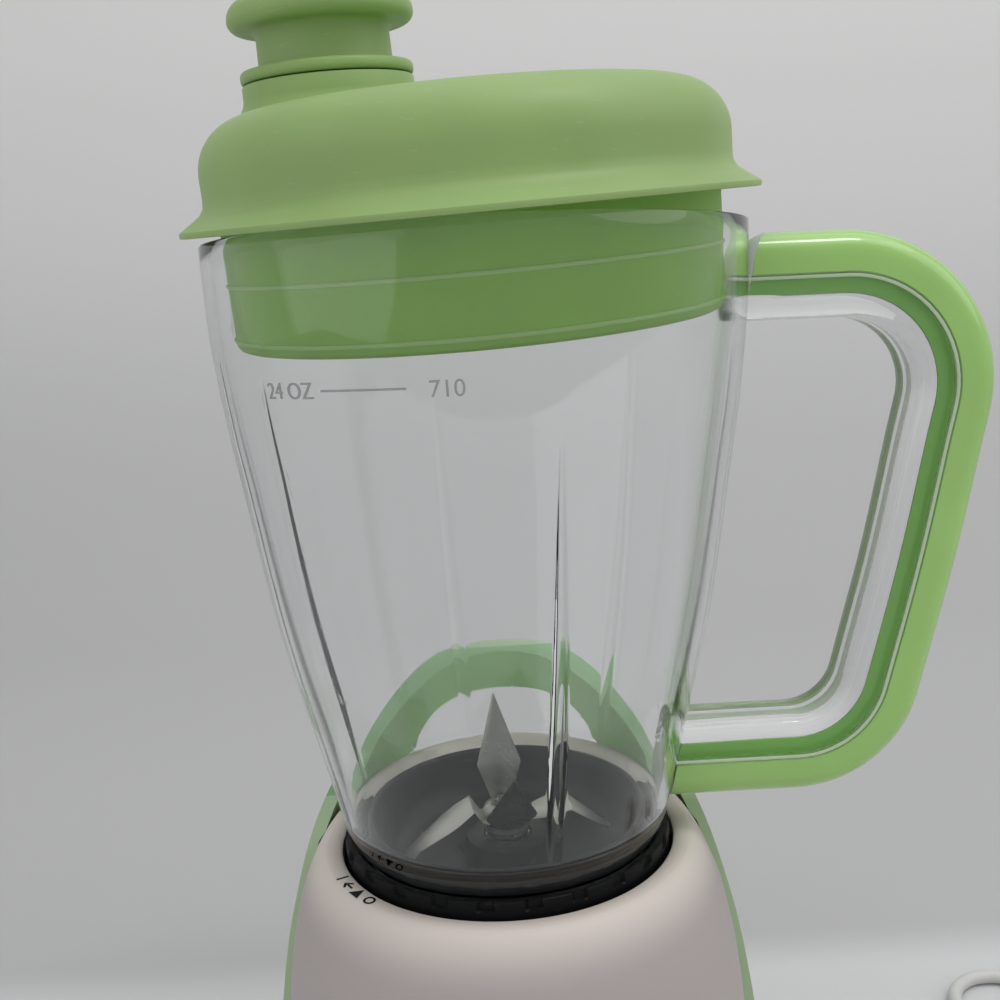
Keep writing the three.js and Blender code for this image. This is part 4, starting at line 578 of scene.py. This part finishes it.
def prism(outline, axis, near, far):
    """An outline pushed through from one plane to another: axis X reads (y, z), axis Y reads (x, z)."""
    made = bmesh.new()
    place = (lambda a, b: (near, a, b)) if axis == "X" else (lambda a, b: (a, near, b))
    verts = [made.verts.new(Vector(place(a, b)) * mm) for a, b in outline]
    face = made.faces.new(verts)
    pushed = bmesh.ops.extrude_face_region(made, geom=[face])
    way = Vector((far - near, 0, 0)) if axis == "X" else Vector((0, far - near, 0))
    moved = [v for v in pushed["geom"] if isinstance(v, bmesh.types.BMVert)]
    bmesh.ops.translate(made, verts=moved, vec=way * mm)
    bmesh.ops.recalc_face_normals(made, faces=made.faces)
    shift(made, jar_axis)
    return made


def rear_ring(z, side_inset=0, rear_inset=0):
    side = value_at(rear_sections, z, 1) - side_inset
    return egg(side, side, value_at(rear_sections, z, 2) - rear_inset, z)


def rear_shell_shape():
    heights = [4.3, 5.2, 7, 10, 20, 30, 38, 48, 58, 68, 78, 88, 96, 103, 110, 116, 122, 128, 134, 140, 146, 155]
    outer = [rear_ring(z) for z in heights]
    upper = [rear_ring(z, 3.5, 7) for z in (155, 146, 140, 134, 128, 122, 118, 114)]
    lower = [rear_ring(z, 2.6, 2.6) for z in (112, 103, 96, 88, 78, 68, 58, 48, 38, 30, 20, 10, 4.3)]
    made = stacked(outer + upper + lower, cap=False)
    bmesh.ops.bridge_loops(made, edges=[e for e in made.edges if len(e.link_faces) == 1])
    bmesh.ops.recalc_face_normals(made, faces=made.faces)
    return made


green_piece = new_piece("rear_shell_skin", rear_shell_shape(), "base", "rear_shell")
rim_points = [(p.x, p.y) for p in smooth_line([(a, b, 0) for a, b in rim_curve], 6)]
front_slab = prism(rim_points + [(90, 200), (-120, 200), (-120, -12)], "X", -120, 120)
window = [(-31, 113.5), (31, 113.5), (29.6, 118), (26.5, 124.5), (21.5, 130), (14, 133.2), (5, 134.2), (-5, 134.2),
          (-14, 133.2), (-21.5, 130), (-26.5, 124.5), (-29.6, 118)]
window_points = [(p.x, p.y) for p in smooth_line([(a, b, 0) for a, b in window[1:]] + [(-31, 113.5, 0)], 4)]
window_cut = prism(window_points, "Y", 30, 120)
cut_with(green_piece, [helper_object(front_slab), helper_object(window_cut)])
edge_round = green_piece.modifiers.new("edge_round", "BEVEL")
edge_round.width = 0.9 * mm
edge_round.segments = 2
edge_round.limit_method = "ANGLE"
edge_round.angle_limit = math.radians(50)
green_shell.on(green_piece)
green_piece.data.materials.append(loop_face_painted_light.material)
green_piece.data.materials.append(loop_rim_painted_shade.material)
# Painted light: front-facing faces of the loop above the deck take the brighter green, and its upward-facing faces
# take the darker green.
for polygon in green_piece.data.polygons:
    if polygon.normal.y < -0.25 and polygon.center.z > 112 * mm and polygon.center.y > jar_axis.y + 20 * mm:
        polygon.material_index = 1 if polygon.normal.z < 0.3 else 2
print("green shell faces", len(green_piece.data.polygons))

# %% [markdown]
# The jar: a clear, slightly barrel-shaped tumbler. Its outer wall is turned from a profile. The
# inner wall follows it and carries six tapering flutes that stir the food; they are made by
# pushing the inner wall's points inwards where a flute runs. The D handle is a clear bar with a
# channel on its outside, joined to the wall by a Boolean.

# %% Jar body
shoulder, rim, wall = 121.9, 264.5, 2.4
jar_shares = [(0, 0.622), (0.018, 0.645), (0.045, 0.661), (0.092, 0.684), (0.204, 0.744), (0.309, 0.801),
              (0.414, 0.850), (0.513, 0.887), (0.618, 0.922), (0.723, 0.958), (0.849, 0.989), (0.93, 0.997), (1, 1)]


def jar_radius(z):
    return value_at(jar_shares, (z - shoulder) / (rim - shoulder), 1) * 61.8


flutes = {-156: (19.5, 27), -75: (30, 39), -15: (30, 27), 45: (30, 27), 105: (30, 27), 165: (19.5, 27)}


def nearest_flute(angle):
    return min(flutes, key=lambda centre: abs((angle - centre + 180) % 360 - 180))


def flute_depth(angle, z):
    """How far the inner wall stands in at an azimuth (degrees) and a height."""
    centre = nearest_flute(angle)
    top = rim - flutes[centre][1]
    share = (top - z) / (top - 150)
    if share <= 0 or z < 127:
        return 0
    across = abs((angle - centre + 180) % 360 - 180) * math.pi / 180 * jar_radius(z)
    grown = min(share, 1) ** 0.7
    foot = min(1, (z - 127) / 24)
    half = 0.3 + 1.9 * grown * (0.6 + 0.4 * foot)
    return max(0, 1 - (across / half) ** 2) * 1.3 * grown * foot


def gathered(angle):
    """Draws the wall's columns of points together near each flute, where the form is fine."""
    centre = nearest_flute(angle)
    span = flutes[centre][0]
    away = ((angle - centre + 180) % 360 - 180) / span
    return centre + span * away * (0.25 + 0.75 * abs(away)) if abs(away) < 1 else angle


def jar_body_shape():
    outer_heights = [121.9 + (264.1 - 121.9) * i / 40 for i in range(41)]
    outer = [(37.4, 121.9)] + [(jar_radius(z), z) for z in outer_heights]
    lip = [(61.6, 264.4), (61.2, 264.5), (60.2, 264.5), (59.6, 264.2)]
    inner_heights = [262 - (262 - 129.5) * i / 56 for i in range(57)]
    inner = [(jar_radius(z) - wall, z) for z in inner_heights]
    neck = [(38.6, 128.4), (37.6, 127.2), (36.2, 125.6), (35.4, 124.2), (35.4, 109.3), (35.8, 108.9), (37.2, 108.9)]
    thread = []
    for k in range(3):
        base = 110.4 + 3.4 * k
        thread += [(37.0, base), (37.0, base + 1.1), (37.7, base + 1.7), (37.7, base + 2.2), (37.0, base + 2.8)]
    made = spun(outer + lip + inner + neck + thread + [(37.0, 121.2)], 540)
    for vert in made.verts:
        place = (vert.co - jar_axis) / mm
        radius = math.hypot(place.x, place.y)
        angle = gathered(math.degrees(math.atan2(place.y, place.x)))
        if 127 < place.z < 250 and radius < jar_radius(place.z) - wall / 2:
            radius -= flute_depth(angle, place.z)
        turned = math.radians(angle)
        vert.co = from_axis(radius * math.cos(turned), radius * math.sin(turned), place.z)
    return made


jar_piece = new_piece("clear_jar_body", jar_body_shape(), "jar", "jar")
print("jar faces", len(jar_piece.data.polygons))


# %% [markdown]
# The handle's outer edge is a line with two round corners. A closed section of the bar is set
# square to that line at many places and bridged. The clear bar and the green insert use the
# same line at different depths, so the insert sits in the bar's channel.

# %% Handle line
def handle_line(depth, root):
    """Points of the handle's edge at a depth below its outside: x and height, from top to bottom root."""
    lean = math.tan(math.radians(13.3))
    across = depth / math.cos(math.radians(13.3))
    top, low = deck + 144.2 - depth, deck + 8.6 + depth
    grip = lambda z: 119.2 - across + (z - deck - 102) * lean
    corners = [(root, top), (grip(top), top - 0.6), (grip(low), low), (root, low)]
    points = [Vector(corners[0])]
    for before, corner, after, radius in ((0, 1, 2, 36 - depth), (1, 2, 3, 32 - depth)):
        a = (Vector(corners[before]) - Vector(corners[corner])).normalized()
        b = (Vector(corners[after]) - Vector(corners[corner])).normalized()
        half = a.angle(b) / 2
        middle = Vector(corners[corner]) + (a + b).normalized() * radius / math.sin(half)
        start = Vector(corners[corner]) + a * radius / math.tan(half) - middle
        sweep = -(math.pi - 2 * half)
        bend = [middle + Matrix.Rotation(sweep * i / 18, 2) @ start for i in range(19)]
        if corner == 2:
            points += [points[-1].lerp(bend[0], i / 10) for i in range(1, 10)]
        points += bend
    points.append(Vector(corners[3]))
    for point in points:
        bow = max(0, 1 - ((point.y - 183) / 36) ** 2) ** 2
        point.x += 0.7 * bow * min(1, max(0, (point.x - 80) / 10))
    return points


def handle_bar(section, root):
    """A closed section of (depth, half width) pairs carried along the handle's line."""
    lines = {}
    for depth, _ in section:
        lines.setdefault(depth, handle_line(depth, root))
    count = len(next(iter(lines.values())))
    rings = []
    for i in range(count):
        rings.append([(lines[depth][i].x, -half, lines[depth][i].y) for depth, half in section])
    return stacked(rings)


channel_top, channel_floor = 10, 14.4
lip = [(channel_top + 0.9, 8.5), (channel_top + 0.75, 8.62), (channel_top + 0.5, 8.7), (channel_top + 0.2, 8.66),
       (channel_top, 8.4)]
back = [(16.6, 8.5), (17.8, 8.3), (18.8, 7.7), (19.5, 6.7), (19.85, 5.4), (19.9, 3.5)]
bar_half = list(reversed(back)) + lip + [(channel_top, 5.1), (channel_floor, 4.8)]
bar_section = bar_half + [(depth, -half) for depth, half in reversed(bar_half)]
bar = helper_object(handle_bar(bar_section, 36))
outer_core = spun([(0, 100), (30, 100)] + [(jar_radius(121.9 + 142.2 * i / 40) - 1.2, 121.9 + 142.2 * i / 40)
                                            for i in range(41)] + [(0, 264.1)], 180)
cut_with(bar, [helper_object(outer_core)])
cut_with(jar_piece, [bar], "UNION")
jar_clear.on(jar_piece)
# Painted highlight: the clear bar's outer lips get a pale, partly clear green, standing in for the light they catch.
lip_painted_highlight = moulded("lip_painted_highlight_clear", (0.66, 0.76, 0.56), 0.3, cloud=0.04, Transmission_Weight=0.25)
jar_piece.data.materials.append(lip_painted_highlight.material)
edge_faces = 0
for polygon in jar_piece.data.polygons:
    place = (polygon.center - jar_axis) / mm
    if abs(place.y) > 8.53 and math.hypot(place.x, place.y) > jar_radius(place.z) + 1:
        polygon.material_index = 1
        edge_faces += 1
print("faces of the bar's highlight_painted edge", edge_faces)
print("jar with handle faces", len(jar_piece.data.polygons))

# %% [markdown]
# The level mark is raised on the outside of the wall: a thin line between two numbers. Figures
# come from a text curve, are turned into a mesh and wrapped round the wall's own radius.


# %% Level mark and deck signs
def wrapped_text(body, size, thick, place_at, weight=0):
    """A flat text, in millimetres, whose points are set by `place_at(along, up, out)`."""
    data = bpy.data.curves.new("letters", "FONT")
    data.body, data.size, data.extrude, data.offset = body, size, thick / 2, weight
    data.align_x = "CENTER"
    letters = bpy.data.objects.new("letters", data)
    bpy.context.collection.objects.link(letters)
    mesh = bpy.data.meshes.new_from_object(letters.evaluated_get(bpy.context.evaluated_depsgraph_get()))
    bpy.data.objects.remove(letters)
    made = bmesh.new()
    made.from_mesh(mesh)
    bpy.data.meshes.remove(mesh)
    bmesh.ops.remove_doubles(made, verts=made.verts, dist=1e-5)
    for vert in made.verts:
        vert.co = from_axis(*place_at(*vert.co))
    bmesh.ops.recalc_face_normals(made, faces=made.faces)
    return made


def wrapped_bar(length, high, thick, place_at):
    made = bmesh.new()
    bmesh.ops.create_cube(made, size=1)
    bmesh.ops.scale(made, verts=made.verts, vec=(length, high, thick))
    lengthwise = [e for e in made.edges if abs(e.verts[0].co.x - e.verts[1].co.x) > thick]
    bmesh.ops.subdivide_edges(made, edges=lengthwise, cuts=24)
    for vert in made.verts:
        vert.co = from_axis(*place_at(*vert.co))
    bmesh.ops.recalc_face_normals(made, faces=made.faces)
    return made


def on_wall(azimuth, z):
    def place(along, up, out):
        radius = jar_radius(z + up) + 0.05 + out
        angle = math.radians(azimuth) + along / radius
        return radius * math.cos(angle), radius * math.sin(angle), z + up
    return place


def on_deck(azimuth, reach):
    def place(along, up, out):
        angle = math.radians(azimuth)
        outward, sideways = reach - up, along
        return (outward * math.cos(angle) - sideways * math.sin(angle),
                outward * math.sin(angle) + sideways * math.cos(angle), deck + 0.04 + out)
    return place


mark = merged([wrapped_text("24 OZ", 4.6, 0.3, on_wall(-127.4, 232.9)),
               wrapped_text("710", 4.6, 0.3, on_wall(-95.5, 232.6)),
               wrapped_bar(17.7, 0.45, 0.3, on_wall(-111.2, 234.4))])
mark_piece = new_piece("level_mark", mark, "jar")
mark_tone = moulded("raised_mark", (0.24, 0.25, 0.26), 0.35, cloud=0.05, Alpha=0.4)
mark_tone.on(mark_piece)
signs = merged([wrapped_text(sign, size, 0.06, on_deck(azimuth, 45.4), 0.1) for sign, size, azimuth in
                (("I", 4, -153), ("\u2190", 4, -147.5), ("\u25b2", 3.6, -142), ("O", 3.8, -136))])
sign_piece = new_piece("deck_signs", signs, "base")
deep_black.on(sign_piece)
print("figures", len(mark_piece.data.polygons), "signs", len(sign_piece.data.polygons))

# %% Handle insert
turns = [math.pi / 2 * i / 10 for i in range(10)]
cap_half = [(6.4 - 6.4 * math.sin(t) ** 0.83, 8.5 * math.cos(t) ** 0.83) for t in turns]
foot_half = [(14.1, 4), (13.9, 4.3), (9.95, 4.7), (9.8, 8.2), (9.6, 8.5)]
insert_half = foot_half + cap_half
insert_section = insert_half + [(0, 0)] + [(depth, -half) for depth, half in reversed(insert_half)]
insert_piece = new_piece("handle_insert_skin", handle_bar(insert_section, 38), "jar", "handle_insert")
keep_out = spun([(0, 100), (42, 100)] + [(jar_radius(121.9 + 142.6 * i / 40) + 0.5, 121.9 + 142.6 * i / 40)
                                         for i in range(36)]
                + [(62.9 + reach, z) for reach, z in ((0, 253), (0.3, 256), (1.2, 259), (2.6, 261.2), (4.6, 262.8))]
                + [(67.5, 270), (0, 270)], 180)
cut_with(insert_piece, [helper_object(keep_out)])
green_insert.on(insert_piece)
insert_piece.data.materials.append(tongue_painted_light.material)
# Painted light: the tongue's side faces in the channel take the brighter green.
for polygon in insert_piece.data.polygons:
    if abs(polygon.center.y - jar_axis.y) < 4.75 * mm and polygon.normal.y ** 2 > 0.5:
        polygon.material_index = 1

# %% [markdown]
# ## Blade base
# Under the jar sits a black ring with grip notches, a shallow dish and a hub. It is one turned
# piece, so one spin makes it whole. The grip notches are pressed into the ring's upper edge by
# moving its own points inwards, which cannot tear the skin as a cut by many small blocks could.

# %% Blade base
collar_top = [(40.6, 119), (40.6, 119.3), (40.6, 120.6), (40.5, 121.2), (40.1, 121.5)]
base_profile = [(5.9, 105.4), (9, 105.4), (9, 110.5), (30, 110.5), (34.2, 104.8), (38.2, 104.4), (38.2, 98),
                (40.2, 98), (40.6, 98.4), (40.6, 110), (40.6, 116)] + collar_top + [
                    (38.8, 121.5), (38.3, 121.1), (38.2, 120), (38.2, 106.8), (35, 106.8), (35, 118), (35, 126),
                    (34.8, 126.5), (34.3, 126.7), (33.8, 126.5), (33.4, 125.8), (32.9, 123), (31.6, 118.4), (30.2, 115.4),
                    (28.4, 113.6), (26, 113), (14, 113), (12.2, 113.2), (11.2, 114), (10.8, 116.8), (10.4, 118),
                    (9.7, 118.3), (6.2, 118.3), (5.9, 118)]
collar_steps, notch_count = 384, 24


def blade_base_shape():
    made = spun(base_profile, collar_steps)
    pressed = 0
    for vert in made.verts:
        place = (vert.co - jar_axis) / mm
        radius, angle = math.hypot(place.x, place.y), math.degrees(math.atan2(place.y, place.x))
        across = abs((angle * notch_count / 360) % 1 - 0.5)
        if radius > 40 and 119.2 < place.z < 121.4 and across < 0.16:
            vert.co.x -= place.x / radius * 0.8 * mm
            vert.co.y -= place.y / radius * 0.8 * mm
            pressed += 1
    print("points pressed into notches:", pressed)
    return made


blade_base_piece = new_piece("blade_base_skin", blade_base_shape(), "blade_carrier", "blade_base")
black_moulding.on(blade_base_piece)
blade_base_piece.data.materials.append(deep_black.material)
for polygon in blade_base_piece.data.polygons:
    place = (polygon.center - jar_axis) / mm
    if math.hypot(place.x, place.y) > 37.9:
        polygon.material_index = 1

# %% Lugs of the blade base
def block_shape(made, size, place, angle):
    verts = bmesh.ops.create_cube(made, size=1)["verts"]
    bmesh.ops.scale(made, verts=verts, vec=Vector(size) * mm)
    bmesh.ops.translate(made, verts=verts, vec=Vector(place) * mm)
    bmesh.ops.rotate(made, verts=verts, cent=(0, 0, 0), matrix=Matrix.Rotation(math.radians(angle), 3, "Z"))


lugs = bmesh.new()
for i in range(3):
    block_shape(lugs, (2.2, 9.6, 4), (39.45, 0, 96.6), 120 * i)
bmesh.ops.bevel(lugs, geom=lugs.edges, offset=0.5 * mm, segments=2, profile=0.5, affect="EDGES", material=-1)
shift(lugs, jar_axis)
lug_piece = new_piece("bayonet_lugs", lugs, "blade_carrier")
black_moulding.on(lug_piece)

# %% [markdown]
# ## Blades
# Two stamped strips cross at the hub. The upper one is bent upwards into a tall spear behind and
# a shorter one in front; the lower one droops to both sides. Each wing is a small loft with its
# edges ground to a bevel, so a section of six points is thick in the middle and thin outside.


# %% Blades
def wing_rings(stations, thick=1.1):
    rings = []
    for reach, rise, half, lean in stations:
        dx, dz = -math.sin(lean) * thick / 2, math.cos(lean) * thick / 2
        inner = max(half - 1.6, half * 0.55)
        rings.append([(reach - dx, -inner, rise - dz), (reach - dx, inner, rise - dz), (reach, half, rise),
                      (reach + dx, inner, rise + dz), (reach + dx, -inner, rise + dz), (reach, -half, rise)])
    return rings


def wing_shape(reach, rise, level, widths, angle, crest_share=0, crest=0):
    """One wing: flat at the hub, straight to its tip, or first up to a crest and then down."""
    lean = math.atan2(rise - max(level, crest), reach * (1 - crest_share) - 6.2)
    stations = [(0, level, 4.2, 0), (5.2, level, widths[0][1], 0)]
    for share, half in widths:
        if share < crest_share:
            high = level + (crest - level) * share / crest_share
        else:
            start = max(level, crest)
            high = start + (rise - start) * (share - crest_share) / (1 - crest_share)
        stations.append((6.2 + (reach - 6.2) * share, high, half, lean if share >= crest_share else 0.3))
    made = stacked(wing_rings(stations))
    bmesh.ops.rotate(made, verts=made.verts, cent=jar_axis, matrix=Matrix.Rotation(math.radians(angle), 3, "Z"))
    return made


lower_level, wing_level, upper_level = 120.45, 122.6, 121.85
spear = [(0.03, 2.3), (0.2, 3.9), (0.375, 5.75), (0.395, 5.7), (0.7, 2.85), (0.99, 0.15)]
short_spear = [(0.06, 3.8), (0.2, 6), (0.26, 6.3), (0.32, 5.9), (0.7, 2.6), (0.99, 0.15)]
droop = [(0.02, 4.2), (0.12, 5.2), (0.3, 6), (0.45, 5.8), (0.8, 3.6), (0.98, 1)]
lower = merged([wing_shape(27, 115.6, wing_level, droop, 9, 0.45, 124.6),
                wing_shape(27, 114.8, wing_level, droop, 189, 0.12, 126.6),
                spun([(2.9, 119.9), (5.4, 119.9), (5.4, 121), (2.9, 121)], 48)])
lower_piece = new_piece("lower_blade_strip", lower, "blades", "lower_blade", smooth=25)
upper = merged([wing_shape(12.5, deck + 32.6, upper_level, spear, 99),
                wing_shape(15.5, deck + 20.6, upper_level, short_spear, -81),
                spun([(2.9, 121.3), (5.4, 121.3), (5.4, 122.4), (2.9, 122.4)], 48)])
upper_piece = new_piece("upper_blade_strip", upper, "blades", "upper_blade", smooth=25)
# Painted light: the lighter steel copy goes on the lower strip and the darker copy on the upper strip.
lower_blade_painted_light_steel.on(lower_piece)
upper_blade_painted_shade_steel.on(upper_piece)

# %% Hub nut
hub_profile = [(2.7, 122.6), (5.4, 122.6), (6, 122.9), (6.2, 123.4), (6.1, 124.6), (5.5, 125.5), (4.4, 126.1), (3, 126.4),
               (2.7, 126.3)]
hub_piece = new_piece("hub_nut_dome", spun(hub_profile, 96), "blades", "hub_nut")
plain_steel.on(hub_piece)

# %% [markdown]
# ## Lid
# The lid is soft green plastic: a thin flange, a rounded crown and a deep plug with two beads.
# On the left a short spout rises out of the crown and its foot melts into the shoulder. The
# crown is a turned skin; the spout, turned too, is joined to it by a Boolean and its bore is cut.

# %% Lid frame and profile
lid_tilt = Matrix.Rotation(math.radians(5.67), 4, Vector((math.sin(math.radians(67.3)), -math.cos(math.radians(67.3)), 0)))
lid_place = (-0.463, -1.107, 270.906)
spout_place = (-29.51, 6.43)


def set_on_jar(made):
    """Moves a piece built upright about the axis, flange underside at zero, to its askew place."""
    shift(made, -jar_axis)
    made.transform(lid_tilt)
    shift(made, from_axis(*lid_place))
    return made


def lid_profile():
    flange = [(63.9, -0.9), (64.7, -0.8), (64.85, -0.2), (64.7, 0.35), (63.9, 0.9), (61.6, 2.45), (59.9, 3.7), (59.1, 5),
              (58.9, 6.6), (58.9, 9)]
    crown = flange + arc(47.3, 11.3, 11.6, 0, 86, 16)
    crown += [(44, 23.05), (36, 23.35), (24, 23.65), (10, 23.85), (0, 23.9)]
    inside = [(0, 21.7), (30, 21.3), (44, 20.8), (50, 19.6), (54, 16.6), (56.4, 12), (56.6, 6), (53.8, 2), (53.8, -24),
              (54, -25), (54.8, -25.65), (55.6, -25.3), (56.1, -24.6)]
    plug = []
    for drop in (23.2, 11.6):
        plug += [(56.2, -drop - 0.45), (56.5, -drop - 0.4), (56.65, -drop - 0.15), (56.65, -drop + 0.15),
                 (56.5, -drop + 0.4), (56.2, -drop + 0.45)]
    return crown + inside + plug + [(56.2, -0.8), (56.8, -0.1), (60, 0), (62.6, -0.5)]


lid_piece = new_piece("lid_skin", set_on_jar(spun(lid_profile(), 180)), "lid", "lid")
spout_profile = [(17.3, 12), (23.9, 12), (23.9, 22.6)] + [(23.9 - x, z) for x, z in
                 [(0.5, 22.95), (1.5, 23.4), (2.5, 24.1), (3.4, 25), (4.05, 26.1), (4.4, 27.4)]]
spout_profile += [(19.45, 30.1), (19.2, 30.5), (18.8, 30.6), (17.5, 30.6), (17.3, 30.4)]
spout = helper_object(set_on_jar(spun(spout_profile, 160, spout_place)))
bore = helper_object(set_on_jar(spun([(0, -10), (17.3, -10), (17.3, 40), (0, 40)], 160, spout_place)))
cut_with(lid_piece, [spout], "UNION")
cut_with(lid_piece, [bore])
green_lid.on(lid_piece)
lid_piece.data.materials.append(plug_painted_light.material)
lid_piece.data.materials.append(bead_painted_highlight.material)
# Painted light: faces below the flange take the brighter plug green, and the two beads take the pale painted-highlight
# green.
upright = (Matrix.Translation(from_axis(*lid_place)) @ lid_tilt).inverted()
for polygon in lid_piece.data.polygons:
    place = upright @ polygon.center / mm
    if place.z < -0.2 and math.hypot(place.x, place.y) < 58:
        polygon.material_index = 2 if math.hypot(place.x, place.y) > 56.25 else 1

# %% Stopper
stopper_profile = [(0, 46.2), (12.9, 46.2), (12.9, 33.6), (14.8, 31.6), (15, 16.8), (15.3, 16.6), (16.4, 16.6),
                   (17, 18.2), (17, 30.9), (19, 30.9), (19.4, 31.2), (19.55, 31.8), (19.5, 32.9), (19.1, 33.4),
                   (18.3, 33.6), (15.9, 33.65), (15.3, 34), (15.1, 34.8), (14.95, 40.4), (15.1, 41.2),
                   (15.6, 41.7), (16.4, 41.9), (18.2, 41.9)]
stopper_profile += arc(18.6, 44.1, 2.2, -86, 0, 8) + arc(16.6, 44.1, 4.2, 8, 88, 12)
stopper_profile += [(12, 48.35), (8.5, 48.3), (6, 47.9), (0, 47.7)]
stopper_piece = new_piece("stopper_skin", set_on_jar(spun(stopper_profile, 144, spout_place)), "stopper",
                          "spout_stopper")
green_lid.on(stopper_piece)

# %% [markdown]
# ## Plunger springs
# Turning the jar pushes two plungers down on small coil springs inside the base. A spring is its
# wire's round section spun and lifted at once.


# %% Springs under the plungers
spring_radius, spring_wire, spring_curls, spring_length, spring_steps = 3.1, 0.9, 3, 7, 96


def spring_shape(foot):
    made = bmesh.new()
    ring = bmesh.ops.create_circle(made, segments=10, radius=spring_wire / 2 * mm)["verts"]
    bmesh.ops.rotate(made, verts=ring, cent=(0, 0, 0), matrix=Matrix.Rotation(math.pi / 2, 3, "X"))
    bmesh.ops.translate(made, verts=ring, vec=Vector((spring_radius, 0, spring_wire / 2)) * mm)
    climb = (spring_length - spring_wire) / spring_steps * mm
    bmesh.ops.spin(made, geom=list(made.verts) + list(made.edges), cent=(0, 0, 0), axis=(0, 0, 1),
                   dvec=(0, 0, climb), angle=2 * math.pi * spring_curls, steps=spring_steps)
    bmesh.ops.holes_fill(made, edges=[e for e in made.edges if len(e.link_faces) == 1], sides=10)
    bmesh.ops.recalc_face_normals(made, faces=made.faces)
    shift(made, foot)
    return made


for number, joint in ((1, "plunger_a_press"), (2, "plunger_b_press")):
    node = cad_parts[f"plunger_spring_{number}"]
    corners = [node.matrix_world @ Vector(corner) for corner in node.bound_box]
    foot = sum(corners, Vector()) / 8
    foot.z = min(corner.z for corner in corners)
    spring = new_piece(f"coil_spring_{number}", spring_shape(foot), "base", f"plunger_spring_{number}")
    plain_steel.on(spring)
    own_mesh(spring)
    print(spring.name, [round(v, 4) for v in foot])

# %% [markdown]
# ## Frame pieces that stay
# Inside the base and at the hub the frame's own solids already have the right shape. They keep
# it, and get a finish each.

# %% Finish the frame's own pieces
kept = {
    "plain_steel": ["base_screw_1", "base_screw_2", "base_screw_3", "base_screw_4", "motor_shaft", "upper_bearing", "lower_bearing", "shaft_bushing",
                    "blade_shaft", "blade_spacer"],
    "black_moulding": ["socket_cup", "interlock_ring", "interlock_switch_1", "interlock_switch_2",
                       "upper_motor_bracket", "lower_motor_bracket", "cooling_fan", "drive_coupler",
                       "blade_coupler"],
    "laminated_core": ["stator_core", "armature_core", "motor_brush_1", "motor_brush_2"],
    "copper_winding": ["field_coil_1", "field_coil_2", "commutator"],
    "grey_rubber": ["rubber_foot_1", "rubber_foot_2", "rubber_foot_3", "rubber_foot_4", "plunger_1", "plunger_2"],
    "white_moulding": ["bottom_plate"],
    "pale_seal": ["jar_seal"],
}
for finish_name, names in kept.items():
    for name in names:
        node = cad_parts[name]
        node.data.materials.clear()
        node.data.materials.append(bpy.data.materials[finish_name])
print("kept frame pieces:", sum(len(names) for names in kept.values()))

# %% [markdown]
# ## Stage
# A pale sheet runs under the object and bends up behind it, lit by two large soft lamps and an
# even pale world, so that a colour renders about as it is written.


# %% Floor, lamps and world
def sweep_sheet():
    made = bmesh.new()
    line = [(-1.2, 0), (0.55, 0)] + [(0.55 + 0.5 * math.sin(a), 0.5 - 0.5 * math.cos(a)) for a in
                                     [math.pi / 2 * i / 12 for i in range(1, 13)]] + [(1.05, 2.4)]
    verts = [made.verts.new((-2.5, y, z - 0.0002)) for y, z in line]
    edges = [made.edges.new(pair) for pair in zip(verts, verts[1:])]
    pushed = bmesh.ops.extrude_edge_only(made, edges=edges)
    moved = [v for v in pushed["geom"] if isinstance(v, bmesh.types.BMVert)]
    bmesh.ops.translate(made, verts=moved, vec=(5, 0, 0))
    bmesh.ops.recalc_face_normals(made, faces=made.faces)
    return helper_object(made, "paper_sweep")


sweep = sweep_sheet()
for polygon in sweep.data.polygons:
    polygon.use_smooth = True
paper = Finish("pale_paper", (0.5, 0.5, 0.505), 0.9, Specular_IOR_Level=0.1)
across = paper.node("ShaderNodeSeparateXYZ", {}, {0: paper.point}, 1)
climb = paper.node("ShaderNodeSeparateXYZ", {}, {0: paper.point}, 2)
# Painted light: the sheet is painted lighter on the floor in front, darker around the object, and lighter again up the
# backdrop towards its top, standing in for how the light falls on it.
floor_painted_light_tone = paper.blend(paper.ramp(across, 0.1, 0.13), (0.6, 0.605, 0.615), (0.455, 0.455, 0.46))
paper.feed("Base Color", paper.blend(paper.ramp(climb, 0.02, 0.6), floor_painted_light_tone, (0.71, 0.715, 0.705)))
paper.on(sweep)
world = bpy.data.worlds.new("soft_room")
world.use_nodes = True
world.node_tree.nodes["Background"].inputs["Color"].default_value = (1, 1, 1, 1)
world.node_tree.nodes["Background"].inputs["Strength"].default_value = 0.52
bpy.context.scene.world = world


def soft_lamp(name, place, aim, size, power):
    data = bpy.data.lights.new(name, "AREA")
    data.shape, data.size, data.energy = "DISK", size, power
    lamp = bpy.data.objects.new(name, data)
    bpy.context.collection.objects.link(lamp)
    lamp.location = place
    lamp.rotation_euler = (Vector(aim) - Vector(place)).to_track_quat("-Z", "Y").to_euler()
    return lamp


soft_lamp("overhead", (0.25, -0.1, 1.7), (0, 0, 0.1), 2.2, 11)
soft_lamp("key", (0.45, -0.3, 1.4), (0.05, 0, 0.2), 0.25, 2)
soft_lamp("right_fill", (2.2, -0.6, 1.8), (0, 0, 0.25), 2.4, 13.5)
soft_lamp("left_fill", (-2.2, -1.5, 0.9), (0, 0, 0.12), 3, 11)
bpy.context.scene.view_settings.view_transform = "Standard"
